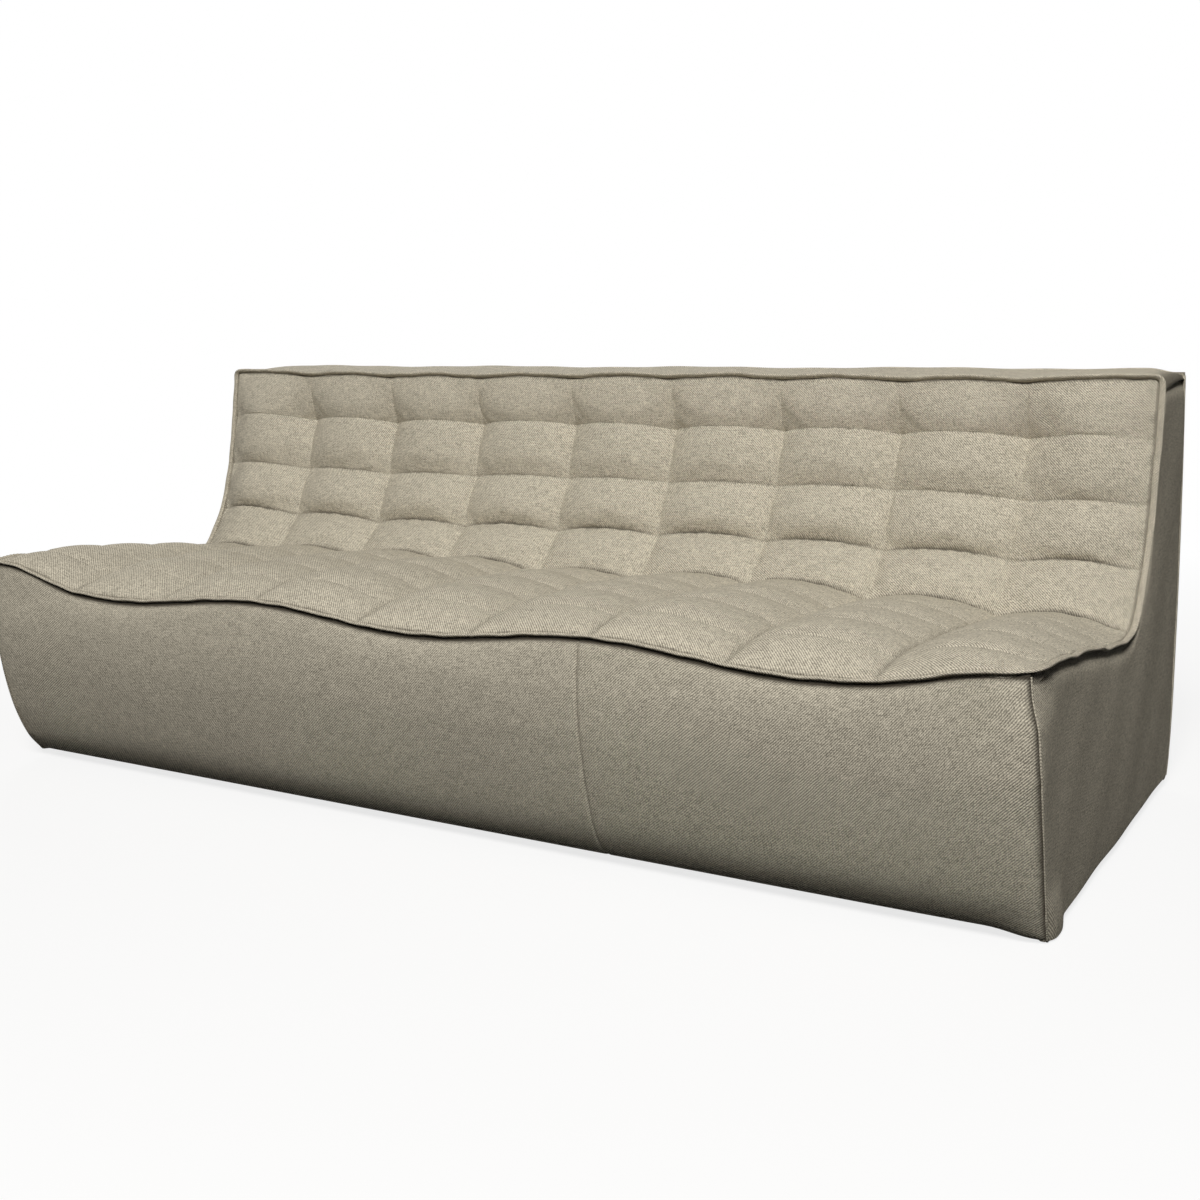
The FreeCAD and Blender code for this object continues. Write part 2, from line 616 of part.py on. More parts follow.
def make_front():
    """Front cover in two lengths of cloth over one foam pad."""
    ends, seam = value(CLOTH_HALF), size("front_seam_offset")
    gap = size("fit_gap")
    hem_end = value(FRAME_FRONT) + size("hem_width")
    for name, start, end in (("left", -ends, seam - gap / 2), ("right", seam + gap / 2, ends)):
        sections = [cover_section(x, front_line(x), hem_end) for x in stations(start, end)]
        feature(f"front_cover_{name}", Part.makeLoft(sections, True, True))

    inset = size("cover_thickness") + gap
    back, floor = value(FRAME_FRONT), value(RAIL_BOTTOM) + gap
    sections = []
    for x in stations(-ends, ends):
        _, shoulder, bow, hem = front_line(x)
        corners = [
            (shoulder[0] + inset, shoulder[1] - gap, shoulder[2] - gap),
            (bow[0] + inset, bow[1], bow[2] - gap),
            (hem[0] + inset, floor, 0),
            (back, floor, 0),
            (back, value(seat_line(FRAME_FRONT)) - gap, 0),
        ]
        sections.append(outline(x, corners))
    feature("front_pad", Part.makeLoft(sections, True, True))


def rear_line():
    """Outer line of the rear cover from its top edge to its hem."""
    rear = value(REAR)
    return [(rear - size("rear_top_draw"), value(BAND_TOP), -size("rear_bow")),
            (rear - size("rear_hem_draw"), value(HEM_BOTTOM), 0)]


def along(wire, length):
    """Solid from a wire across the sofa, carried along X."""
    return Part.Face(wire).extrude(FreeCAD.Vector(length, 0, 0))


def make_rear():
    """Rear cover, the pad that rounds it and the band along the top."""
    ends, gap = value(CLOTH_HALF), size("fit_gap")
    hem_end = value(FRAME_REAR) - size("hem_width")
    feature("rear_cover", along(cover_section(-ends, rear_line(), hem_end), 2 * ends))

    inset = size("cover_thickness") + gap
    top, hem = rear_line()
    corners = [
        (top[0] - inset, value(SOFT_TOP), top[2] + 2 * gap),
        (hem[0] - inset, value(RAIL_BOTTOM) + gap, 0),
        (value(BOARD_REAR), value(RAIL_BOTTOM) + gap, 0),
        (value(BOARD_REAR), value(SOFT_TOP), 0),
    ]
    feature("rear_pad", along(outline(-ends, corners), 2 * ends))

    band_front = f"({upper_line(SOFT_TOP)} - Sizes.quilt_depth + Sizes.welt_diameter + Sizes.fit_gap)"
    band_rear = f"({REAR} - Sizes.rear_top_draw - Sizes.cover_thickness - Sizes.fit_gap)"
    long_x = (f"-{CLOTH_HALF}", CLOTH_HALF)
    keep(box("band", long_x, (band_front, band_rear), (BAND_BOTTOM, BAND_TOP)), "top_band")


def end_edge(inset):
    """Corners (y, z) of the quilt's edge at the sofa's end, front to top, moved in by an inset."""
    rows = tuft_line()
    drop = size("end_crease_drop")
    crease = rows[4]
    edge = [(value(QUILT_FRONT), size("edge_crest")), rows[-1], (crease[0] + drop / 2, crease[1] - drop),
            rows[2], rows[0]]
    lines = []
    for start, end in zip(edge, edge[1:]):
        across, up = end[0] - start[0], end[1] - start[1]
        length = math.hypot(across, up)
        shift = (inset * up / length, -inset * across / length)
        lines.append(((start[0] + shift[0], start[1] + shift[1]), (across / length, up / length)))
    moved = [lines[0][0]]
    for (point, way), (other, other_way) in zip(lines, lines[1:]):
        cross = way[0] * other_way[1] - way[1] * other_way[0]
        run = ((other[0] - point[0]) * other_way[1] - (other[1] - point[1]) * other_way[0]) / cross
        moved.append((point[0] + run * way[0], point[1] + run * way[1]))
    moved.append((edge[-1][0] + inset, edge[-1][1]))
    return moved


def rounded(x, points, radii):
    """Edges through points across the sofa at x, with a tangent arc at each inner point."""
    points = [FreeCAD.Vector(x, y, z) for y, z in points]
    edges, start = [], points[0]
    for before, corner, after, radius in zip(points, points[1:], points[2:], radii):
        back, ahead = (before - corner).normalize(), (after - corner).normalize()
        half = back.getAngle(ahead) / 2
        cut = radius / math.tan(half)
        middle = corner + (back + ahead).normalize() * (radius / math.sin(half) - radius)
        edges.append(Part.LineSegment(start, corner + back * cut).toShape())
        edges.append(Part.Arc(corner + back * cut, middle, corner + ahead * cut).toShape())
        start = corner + ahead * cut
    edges.append(Part.LineSegment(start, points[-1]).toShape())
    return edges


def tube(edges, radius):
    """Round welt swept along edges that join smoothly."""
    spine = Part.Wire(edges)
    start = edges[0].firstVertex().Point
    way = edges[0].tangentAt(edges[0].FirstParameter)
    ring = Part.Wire(Part.Circle(start, way, radius).toShape())
    return spine.makePipeShell([ring], True, False)


def make_welts():
    """Flanged welt along the quilt's front, ends and top."""
    radius, gap, half = size("welt_diameter") / 2, size("fit_gap"), value(HALF_WIDTH)
    wave = value(SEAT_WIDTH) / 4
    y = value(QUILT_FRONT) - gap - radius
    edges = []
    for index in range(SEATS * 4):
        places = [-half + wave * (index + share) for share in (0, 0.5, 1)]
        points = [FreeCAD.Vector(x, y, edge_height(x) - radius) for x in places]
        edges.append(Part.Arc(*points).toShape())
    feature("welt_front", tube(edges, radius))

    radii = (size("bend_radius"), size("crease_radius"), size("bend_radius"))
    path = end_edge(radius)
    path[0] = (path[0][0] + gap, path[0][1])
    path[-1] = (path[-1][0], path[-1][1] - gap)
    for name, side in SIDES:
        feature(f"welt_{name}", tube(rounded(side * (half - radius), path, radii), radius))

    top_y = tuft_line()[0][0] + radius
    top_z = value(BAND_BOTTOM) + radius
    line = Part.LineSegment(FreeCAD.Vector(-half, top_y, top_z), FreeCAD.Vector(half, top_y, top_z)).toShape()
    feature("welt_top", tube([line], radius))


def make_ends():
    """End covers that reach from the welt to a hem under the side rails."""
    cloth, gap, half = size("cover_thickness"), size("fit_gap"), value(HALF_WIDTH)
    radii = (size("bend_radius"), size("crease_radius"), size("bend_radius"))
    upper = rounded(0, end_edge(size("welt_diameter") + gap), radii)
    first, last = upper[0].firstVertex().Point, upper[-1].lastVertex().Point
    rear_top, rear_hem = rear_line()
    joined = [(first.y, first.z, 0), *front_line(half), (*rear_hem[:2], -rear_top[2]),
              (*rear_top[:2], 0), (last.y, last.z, 0)]
    around = outline(0, joined).Edges[:-1]
    face = Part.Face(Part.Wire(Part.sortEdges(upper + around)[0]))
    hem_y = value(FRAME_FRONT) + size("hem_width") + gap
    hem_length = value(FRAME_REAR) - size("hem_width") - gap - hem_y
    hem_x = value(FRAME_HALF) - size("hem_width")
    for name, side in SIDES:
        panel = face.extrude(FreeCAD.Vector(side * cloth, 0, 0))
        panel.translate(FreeCAD.Vector(side * (half - cloth), 0, 0))
        corner = FreeCAD.Vector(hem_x if side > 0 else -half, hem_y, value(HEM_BOTTOM))
        hem = Part.makeBox(half - hem_x, hem_length, cloth, corner)
        feature(f"end_cover_{name}", panel.fuse(hem).removeSplitter())


def make_dust_cover(fasteners):
    """Thin black cloth that closes the underside inside the hems."""
    edge = "Sizes.hem_width - Sizes.fit_gap"
    x = f"({FRAME_HALF} - {edge})"
    y = (f"({FRAME_FRONT} + Sizes.hem_width + Sizes.fit_gap)", f"({FRAME_REAR} - {edge})")
    blank = box("dust_blank", (f"-{x}", x), y, ("Sizes.foot_height", RAIL_BOTTOM))
    drilled("dust_cover", blank, fasteners)


def main():
    """Build every sub-part, check each one and write its file."""
    fasteners = make_fasteners()
    make_feet()
    make_base(fasteners)
    make_back(fasteners)
    make_webbing()
    make_foam()
    make_quilt()
    make_front()
    make_rear()
    make_welts()
    make_ends()
    make_dust_cover(fasteners)
    doc.recompute()
    failed = [item.Name for item in doc.Objects if {"Invalid", "Error"} & set(item.State)]
    for node in nodes:
        if node.Shape.isNull() or not node.Shape.isValid() or not node.Shape.Solids:
            failed.append(node.Label)
    if failed:
        raise RuntimeError("not built: " + ", ".join(failed))
    os.makedirs("parts", exist_ok=True)
    for node in nodes:
        node.Shape.exportStep(f"parts/{node.Label}.step")
        print(node.Label, len(node.Shape.Solids), "solid(s)", round(node.Shape.Volume / 1e3), "cm3")


main()
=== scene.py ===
"""Looks of a quilted three-seater sofa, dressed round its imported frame.

Lengths are metres in the frame of the CAD: x along the sofa, the front faces -y, the floor is z = 0.
"""

import logging
import math
from dataclasses import dataclass, field
from enum import Enum
from typing import Any, Callable, Sequence

import bmesh
import bpy
import numpy as np
from mathutils import Matrix, Vector


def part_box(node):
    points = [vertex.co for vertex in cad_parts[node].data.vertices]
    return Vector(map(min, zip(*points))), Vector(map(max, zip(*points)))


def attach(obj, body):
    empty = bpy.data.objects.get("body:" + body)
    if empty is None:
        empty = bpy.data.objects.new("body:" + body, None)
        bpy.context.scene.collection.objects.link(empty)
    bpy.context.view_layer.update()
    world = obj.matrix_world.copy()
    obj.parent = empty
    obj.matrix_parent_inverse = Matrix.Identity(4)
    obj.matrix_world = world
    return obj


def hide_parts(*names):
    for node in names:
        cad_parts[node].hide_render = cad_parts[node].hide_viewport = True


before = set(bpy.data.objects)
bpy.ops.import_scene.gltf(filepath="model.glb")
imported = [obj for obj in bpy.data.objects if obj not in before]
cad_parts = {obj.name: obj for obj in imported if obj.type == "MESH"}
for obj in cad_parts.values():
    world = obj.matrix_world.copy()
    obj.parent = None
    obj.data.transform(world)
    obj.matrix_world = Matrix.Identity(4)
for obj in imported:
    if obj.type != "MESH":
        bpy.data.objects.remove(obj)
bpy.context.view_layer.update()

LOG = logging.getLogger("sofa")
Array = np.ndarray
Thing = bpy.types.Object
Paint = bpy.types.Material
Colour = tuple[float, float, float]
BODY = "root"
CLOTH_MAP = "cloth"
# Name of the per-vertex attribute of painted shade in seams, recesses and under the lip.
PAINTED_SHADE = "crease"
TURN = 2 * math.pi


class Side(Enum):
    """The two ends of the sofa, by the sign of x."""

    LEFT = -1
    RIGHT = 1


class Grain(Enum):
    """The axis that a piece of timber was cut along."""

    X = 0
    Y = 1
    Z = 2


# Curves and grids

def ease(t: Array) -> Array:
    """Smooth step: 3t^2 - 2t^3 between 0 and 1, held outside."""
    t = np.clip(t, 0, 1)
    return t * t * (3 - 2 * t)


def fade(value: Array, start: float, run: float) -> Array:
    """Smooth step of a value: 0 at the start, 1 a run further on; a negative run goes downwards."""
    return ease((value - start) / run)


def dent(distance: Array, width: float | Array) -> Array:
    """A groove's share: e^-(distance/width)^2, which is 1 on the line and fades beside it."""
    return np.exp(-((distance / width) ** 2))


def mound(t: Array) -> Array:
    """A mound: 4t(1-t), which is 0 at both ends and 1 in the middle."""
    return np.clip(4 * t * (1 - t), 0, 1)


def swell(least: float, t: Array) -> Array:
    """From a least share at both ends to 1 in the middle."""
    return least + (1 - least) * mound(t)


def waves(table: Sequence[Sequence[float]], *along: Array) -> Array:
    """Slack in cloth: height sin(phase + p a + q b), added up over rows of height, phase, p and q."""
    return sum(height * np.sin(phase + sum(k * a for k, a in zip(pace, along))) for height, phase, *pace in table)


def blend(first: Array, second: Array, share: Array) -> Array:
    """Points a share of the way from the first to the second."""
    return (1 - share[..., None]) * first + share[..., None] * second


def through(knots: Sequence | Array, at: Array) -> Array:
    """Cubic curve through knots at whole parameters, with central differences as slopes.

    Args:
        knots: Points, one row each.
        at: Parameters from 0 to the number of knots less one.

    Returns:
        One point for each parameter.
    """
    k = np.asarray(knots, float)
    slope = np.gradient(k, axis=0)
    i = np.clip(np.floor(at).astype(int), 0, len(k) - 2)
    t = (at - i)[..., None]
    start, end = 2 * t**3 - 3 * t**2 + 1, 3 * t**2 - 2 * t**3
    leave, arrive = t**3 - 2 * t**2 + t, t**3 - t**2
    return start * k[i] + end * k[i + 1] + leave * slope[i] + arrive * slope[i + 1]


def lengths(line: Array) -> Array:
    """Length of a polyline from its start to each of its points."""
    return np.r_[0, np.cumsum(np.linalg.norm(np.diff(line, axis=0), axis=1))]


def cloth_run(points: Array) -> Array:
    """Length of cloth along each line of a grid, from the line's first point."""
    return np.cumsum(np.linalg.norm(np.diff(points, axis=1, prepend=points[:, :1]), axis=2), axis=1)


def oval(wide: float, tall: float, count: int = 10) -> Array:
    """Points round an ellipse of two half axes."""
    a = np.arange(count) / count * TURN
    return np.stack([wide * np.cos(a), tall * np.sin(a)], axis=1)


def even(line: Array, count: int, closed: bool = False) -> Array:
    """Points at even steps along a polyline.

    Args:
        line: Points, one row each; further columns are carried along.
        count: How many points to give.
        closed: Whether the line returns to its first point.

    Returns:
        The points; a closed line's first one isn't repeated.
    """
    loop = np.vstack([line, line[:1]]) if closed else line
    run = lengths(loop[:, :3])
    at = np.linspace(0, run[-1], count, endpoint=not closed)
    return np.stack([np.interp(at, run, column) for column in loop.T], axis=1)


def joined(*parts: Array | float) -> Array:
    """Points from their coordinates, spread to one shape."""
    return np.stack(np.broadcast_arrays(*parts), axis=-1)


def press(distance: Array, depth: float | Array, width: float) -> Array:
    """A groove of a given depth and width, or a band of painted shade of a given strength and width."""
    return depth * dent(distance, width)


def unit(v: Array) -> Array:
    """Vectors scaled to length one."""
    return v / np.linalg.norm(v, axis=-1, keepdims=True)


def crowded(cells: int, steps: int, crowd: float) -> Array:
    """Cell numbers whose steps crowd to the seams: t - crowd sin(2 pi t) / 2 pi in each cell."""
    t = np.linspace(0, cells, cells * steps + 1)
    return t - crowd * np.sin(TURN * t) / TURN


def grid_faces(rows: int, cols: int, wrap: tuple[bool, bool] = (False, False)) -> tuple[Array, Array, Array]:
    """Quads of a grid of points.

    Args:
        rows: Points along the first parameter.
        cols: Points along the second one.
        wrap: Whether each parameter closes on itself.

    Returns:
        Faces as vertex numbers, then each corner's row and column before wrapping.
    """
    i = np.arange(rows if wrap[0] else rows - 1)[:, None, None] + np.array([0, 1, 1, 0])
    j = np.arange(cols if wrap[1] else cols - 1)[None, :, None] + np.array([0, 0, 1, 1])
    i, j = np.broadcast_arrays(i, j)
    i, j = i.reshape(-1, 4), j.reshape(-1, 4)
    return (i % rows) * cols + j % cols, i, j


def new_piece(name: str, points: Array, faces: Sequence, uv: Array | None = None, crease: Array | None = None,
              facing: Sequence[float] | None = None) -> Thing:
    """Puts arrays into a smooth mesh object at the origin.

    Args:
        name: The piece's name.
        points: Vertices, one row each.
        faces: Vertex numbers of each face.
        uv: Cloth coordinates in metres, one row for each face corner in order.
        crease: Painted shade of each vertex, from 0 to 1, darkest in seams and recesses.
        facing: A direction that most faces look along; without it, closed shells are turned outwards.

    Returns:
        The linked object.
    """
    mesh = bpy.data.meshes.new(name)
    mesh.from_pydata(np.asarray(points).tolist(), [], [list(map(int, f)) for f in faces])
    if uv is not None:
        mesh.uv_layers.new(name=CLOTH_MAP).data.foreach_set("uv", np.asarray(uv, np.float32).ravel())
    if crease is not None:
        held = mesh.attributes.new(PAINTED_SHADE, "FLOAT", "POINT")
        held.data.foreach_set("value", np.asarray(crease, np.float32).ravel())
    if facing is None:
        turn_outwards(mesh)
    else:
        mesh.update()
        normals = np.zeros(len(mesh.polygons) * 3, np.float32)
        mesh.polygons.foreach_get("normal", normals)
        if normals.reshape(-1, 3).mean(0) @ np.asarray(facing, float) < 0:
            mesh.flip_normals()
    mesh.polygons.foreach_set("use_smooth", np.ones(len(mesh.polygons), bool))
    mesh.update()
    made = bpy.data.objects.new(name, mesh)
    bpy.context.scene.collection.objects.link(made)
    return made


def turn_outwards(mesh: bpy.types.Mesh) -> None:
    """Recalculates a closed mesh's normals so that they point out."""
    work = bmesh.new()
    work.from_mesh(mesh)
    bmesh.ops.recalc_face_normals(work, faces=work.faces)
    work.to_mesh(mesh)
    work.free()


def rim(rows: int, cols: int) -> Array:
    """Vertex numbers round a grid's edge, in order."""
    number = np.arange(rows * cols).reshape(rows, cols)
    return np.r_[number[:-1, 0], number[-1, :-1], number[:0:-1, -1], number[0, :0:-1]]


def between(name: str, face: Array, back: Array) -> Thing:
    """A closed block between two grids of points: both sheets and the wall round them."""
    rows, cols = face.shape[:2]
    faces, _, _ = grid_faces(rows, cols)
    ring, count = rim(rows, cols), rows * cols
    wall = np.stack([ring, np.roll(ring, -1), np.roll(ring, -1) + count, ring + count], axis=1)
    points = np.vstack([face.reshape(-1, 3), back.reshape(-1, 3)])
    return new_piece(name, points, np.vstack([faces, faces[:, ::-1] + count, wall]))


def cloth_grid(name: str, points: Array, uv: Array, crease: Array, facing: Sequence[float]) -> Thing:
    """An open cloth surface from a grid of points, its cloth coordinates and its painted shade."""
    rows, cols = points.shape[:2]
    faces, i, j = grid_faces(rows, cols)
    return new_piece(name, points.reshape(-1, 3), faces, uv[i, j].reshape(-1, 2), crease.ravel(), facing)


def tube(name: str, path: Array, out: Array, up: Array, profile: Array, closed: bool) -> Thing:
    """A closed profile carried along a path: path + out * a + up * b for each profile point (a, b).

    Args:
        name: The piece's name.
        path: Points along the path.
        out: The profile's first axis at each point.
        up: Its second axis.
        profile: Points (a, b) round the profile.
        closed: Whether the path closes on itself; an open one gets flat ends.

    Returns:
        The object.
    """
    a, b = profile.T
    points = path[:, None] + out[:, None] * a[None, :, None] + up[:, None] * b[None, :, None]
    rows, cols = points.shape[:2]
    faces, i, j = grid_faces(rows, cols, (closed, True))
    run, girth = (lengths(np.vstack([line, line[:1]])) for line in (path, profile))
    uv = np.stack([run[i], girth[j]], axis=-1).reshape(-1, 2)
    shells = faces.tolist()
    if not closed:
        shells += [list(range(cols)), list(range((rows - 1) * cols, rows * cols))]
        uv = np.vstack([uv, profile, profile])
    return new_piece(name, points.reshape(-1, 3), shells, uv, np.zeros(rows * cols))


def many_tubes(name: str, points: Array) -> Thing:
    """Small equal tubes with flat ends as one mesh; points go by tube, ring and place on the ring."""
    count, rings, sides = points.shape[:3]
    faces, _, _ = grid_faces(rings, sides, (False, True))
    base = np.arange(count)[:, None, None] * rings * sides
    ends = np.arange(rings * sides).reshape(rings, sides)[[0, -1]]
    quads, caps = (faces + base).reshape(-1, 4), (ends + base).reshape(-1, sides)
    return new_piece(name, points.reshape(-1, 3), quads.tolist() + caps.tolist())


# Shader writing

def operation(name: str, turned: bool = False) -> Callable[..., "Value"]:
    """A method that adds one Math node.

    Args:
        name: Blender's name of the operation.
        turned: Whether the other term comes first.

    Returns:
        The method.
    """
    def method(self: "Value", *others: Any) -> "Value":
        """One Math node on the value and the other terms."""
        terms = (*others, self) if turned else (self, *others)
        return self.book.node("ShaderNodeMath", {"operation": name}, dict(enumerate(terms)))
    return method


class Value:
    """A number from a shader socket; arithmetic on it adds Math nodes."""

    __add__ = __radd__ = operation("ADD")
    __sub__, __rsub__ = operation("SUBTRACT"), operation("SUBTRACT", turned=True)
    __mul__ = __rmul__ = operation("MULTIPLY")
    __truediv__, __rtruediv__ = operation("DIVIDE"), operation("DIVIDE", turned=True)
    sine, most = operation("SINE"), operation("MAXIMUM")

    def __init__(self, book: "Book", socket: bpy.types.NodeSocket) -> None:
        """Wraps one output socket of a book."""
        self.book, self.socket = book, socket

    def held(self) -> "Value":
        """Kept between 0 and 1."""
        return self.book.node("ShaderNodeClamp", {}, {"Value": self})


class Book:
    """The node tree of one material or of the world."""

    def __init__(self, owner: Any) -> None:
        """Empties the owner's tree.

        Args:
            owner: A material or a world.
        """
        owner.use_nodes = True
        self.owner, self.tree = owner, owner.node_tree
        self.tree.nodes.clear()

    def node(self, kind: str, settings: dict[str, Any], inputs: dict[Any, Any], out: Any = 0) -> Value:
        """Adds a node.

        Args:
            kind: Blender's node type.
            settings: Properties, set first.
            inputs: Values or links by socket name or number.
            out: The output to give back.

        Returns:
            That output.
        """
        made = self.tree.nodes.new(kind)
        for key, value in settings.items():
            setattr(made, key, value)
        for key, value in inputs.items():
            if isinstance(value, Value):
                self.tree.links.new(value.socket, made.inputs[key])
            else:
                made.inputs[key].default_value = value
        return Value(self, made.outputs[out]) if len(made.outputs) else Value(self, None)

    def noise(self, where: Value, scale: float, detail: float = 2.0, roughness: float = 0.5) -> Value:
        """Fractal noise from 0 to 1."""
        return self.node("ShaderNodeTexNoise", {}, {"Vector": where, "Scale": scale, "Detail": detail,
                                                    "Roughness": roughness})

    def stretched(self, where: Value, scale: Sequence[float], turn: float = 0.0) -> Value:
        """Coordinates scaled along each axis and turned about z."""
        return self.node("ShaderNodeMapping", {}, {"Vector": where, "Scale": tuple(scale),
                                                   "Rotation": (0.0, 0.0, turn)})

    def mix(self, share: Any, first: Any, second: Any) -> Value:
        """A colour between two; the Mix node's colours are its inputs 6 and 7 and its output 2."""
        def colour(c: Any) -> Any:
            """Adds alpha to a plain colour."""
            return c if isinstance(c, Value) else (*c, 1.0)
        return self.node("ShaderNodeMix", {"data_type": "RGBA"}, {0: share, 6: colour(first), 7: colour(second)}, 2)

    def parts(self, where: Value) -> list[Value]:
        """The x, y and z of coordinates."""
        split = self.node("ShaderNodeSeparateXYZ", {}, {"Vector": where})
        return [Value(self, out) for out in split.socket.node.outputs]

    def place(self) -> Value:
        """Object coordinates."""
        return self.node("ShaderNodeTexCoord", {}, {}, "Object")

    def bump(self, height: Value, depth: float, strength: float) -> Value:
        """A normal from a height between 0 and 1."""
        return self.node("ShaderNodeBump", {}, {"Height": height, "Distance": depth, "Strength": strength})

    def finish(self, **sockets: Any) -> Any:
        """Ends the tree in a Principled shader; socket names are given with underscores."""
        named = {key.replace("_", " "): value for key, value in sockets.items()}
        shader = self.node("ShaderNodeBsdfPrincipled", {}, named)
        self.node("ShaderNodeOutputMaterial", {}, {"Surface": shader})
        return self.owner


# Finishes

@dataclass(frozen=True)
class TwillCloth:
    """Heathered linen twill: yarns of two shades with diagonal ribs, read from cloth coordinates."""

    name: str = "heather_twill"
    pale: Colour = (0.770, 0.708, 0.574)
    dark: Colour = (0.230, 0.209, 0.168)
    # Near-black brown that the painted shade in seams, recesses and under the lip mixes towards.
    painted_fold_shade: Colour = (0.038, 0.031, 0.022)
    rib: float = 0.0046
    sheen: float = 0.05
    fuzz: Colour = (0.85, 0.75, 0.56)

    def material(self) -> Paint:
        """Slubs run both ways, under an even grain and a soft cloud; ribs are a sine across the diagonal.

        Painted shade: each vertex's share mixes the colour towards a near-black brown in seams, recesses and under the
        lip.
        """
        book = Book(bpy.data.materials.new(self.name))
        cloth = book.node("ShaderNodeUVMap", {"uv_map": CLOTH_MAP}, {})
        across, upright, _ = book.parts(cloth)
        sway = book.noise(book.stretched(cloth, (60, 60, 1)), 1.0, 1.0)
        ribs = ((upright - across) * (TURN / self.rib) + sway * 3.0).sine()
        warp = book.noise(book.stretched(cloth, (520, 60, 1)), 1.0, 2.0, 0.6)
        weft = book.noise(book.stretched(cloth, (52, 560, 1)), 1.0, 2.0, 0.6)
        fleck = book.noise(book.stretched(cloth, (360, 360, 1)), 1.0, 2.0, 0.7)
        cloud = book.noise(book.stretched(cloth, (24, 48, 1)), 1.0, 3.0, 0.6)
        grain = book.noise(book.stretched(cloth, (115, 190, 1)), 1.0, 2.0, 0.6)
        rough = warp * 0.8 + weft * 0.8 + fleck * 1.5
        yarn = rough * 1.3 + cloud * 0.4 + grain * 0.6 + ribs * fleck * 0.8 - 2.02
        shade = book.mix(yarn.held(), self.dark, self.pale)
        # Painted shade: the colour darkens towards the near-black brown by each vertex's share.
        crease = book.node("ShaderNodeAttribute", {"attribute_name": PAINTED_SHADE}, {}, "Fac")
        colour = book.mix(crease.held(), shade, self.painted_fold_shade)
        height = ribs * 0.28 + rough * 0.3
        return book.finish(Base_Color=colour, Roughness=(0.97 - yarn.held() * 0.14), Sheen_Weight=self.sheen,
                           Sheen_Tint=(*self.fuzz, 1.0), Sheen_Roughness=0.55, Specular_IOR_Level=0.15,
                           Normal=book.bump(height, 0.0013, 0.7))


@dataclass(frozen=True)
class Thread:
    """Twisted sewing thread, read from object coordinates."""

    name: str = "sewing_thread"
    colour: Colour = (0.50, 0.45, 0.36)
    shadow: Colour = (0.30, 0.26, 0.20)

    def material(self) -> Paint:
        """Ply marks are a fine noise between two shades."""
        book = Book(bpy.data.materials.new(self.name))
        ply = book.noise(book.place(), 900.0)
        return book.finish(Base_Color=book.mix(ply, self.shadow, self.colour), Roughness=0.7 + ply * 0.2,
                           Normal=book.bump(ply, 0.0004, 0.4))


@dataclass(frozen=True)
class DustCloth:
    """Black spun-bonded cloth with its small embossed points."""

    name: str = "spunbond_black"
    colour: Colour = (0.016, 0.016, 0.017)
    fibre: Colour = (0.045, 0.045, 0.047)
    pitch: float = 0.003

    def material(self) -> Paint:
        """Embossed points are a product of sines; fibres are a stretched noise."""
        book = Book(bpy.data.materials.new(self.name))
        place = book.place()
        x, y = (part * (TURN / self.pitch) for part in book.parts(place)[:2])
        dots = x.sine() * y.sine() * 0.5 + 0.5
        fibre = book.noise(book.stretched(place, (900, 300, 1), 0.5), 1.0, 3.0, 0.7)
        return book.finish(Base_Color=book.mix(fibre, self.colour, self.fibre), Roughness=0.8 + fibre * 0.15,
                           Normal=book.bump(dots * 0.6 + fibre * 0.4, 0.0005, 0.5))


@dataclass(frozen=True)
class Foam:
    """Open-cell foam with its fine pores and some yellowing."""

    name: str = "open_cell_foam"
    colour: Colour = (0.78, 0.74, 0.58)
    pore: Colour = (0.52, 0.46, 0.32)

    def material(self) -> Paint:
        """Pores are Voronoi cells; yellowing is a broad noise."""
        book = Book(bpy.data.materials.new(self.name))
        place = book.place()
        cell = book.node("ShaderNodeTexVoronoi", {}, {"Vector": place, "Scale": 620.0}, "Distance")
        age = book.noise(place, 5.0)
        shade = book.mix((cell * 0.8 + age * 0.3).held(), self.colour, self.pore)
        return book.finish(Base_Color=shade, Roughness=0.95 - cell * 0.1, Normal=book.bump(cell, 0.0012, 0.6))


@dataclass(frozen=True)
class Webbing:
    """Woven elastic webbing of two shades."""

    name: str = "elastic_webbing"
    colour: Colour = (0.115, 0.090, 0.062)
    rib: Colour = (0.250, 0.205, 0.150)
    pitch: float = 0.004

    def material(self) -> Paint:
        """A basket weave: the product of two sines, with a fibre noise over it."""
        book = Book(bpy.data.materials.new(self.name))
        place = book.place()
        x, y = (part * (TURN / self.pitch) for part in book.parts(place)[:2])
        weave = x.sine() * y.sine() * 0.5 + 0.5
        fibre = book.noise(place, 700.0)
        share = (weave * 0.6 + fibre * 0.5).held()
        return book.finish(Base_Color=book.mix(share, self.colour, self.rib), Roughness=0.88 - fibre * 0.15,
                           Normal=book.bump(weave, 0.0008, 0.5))


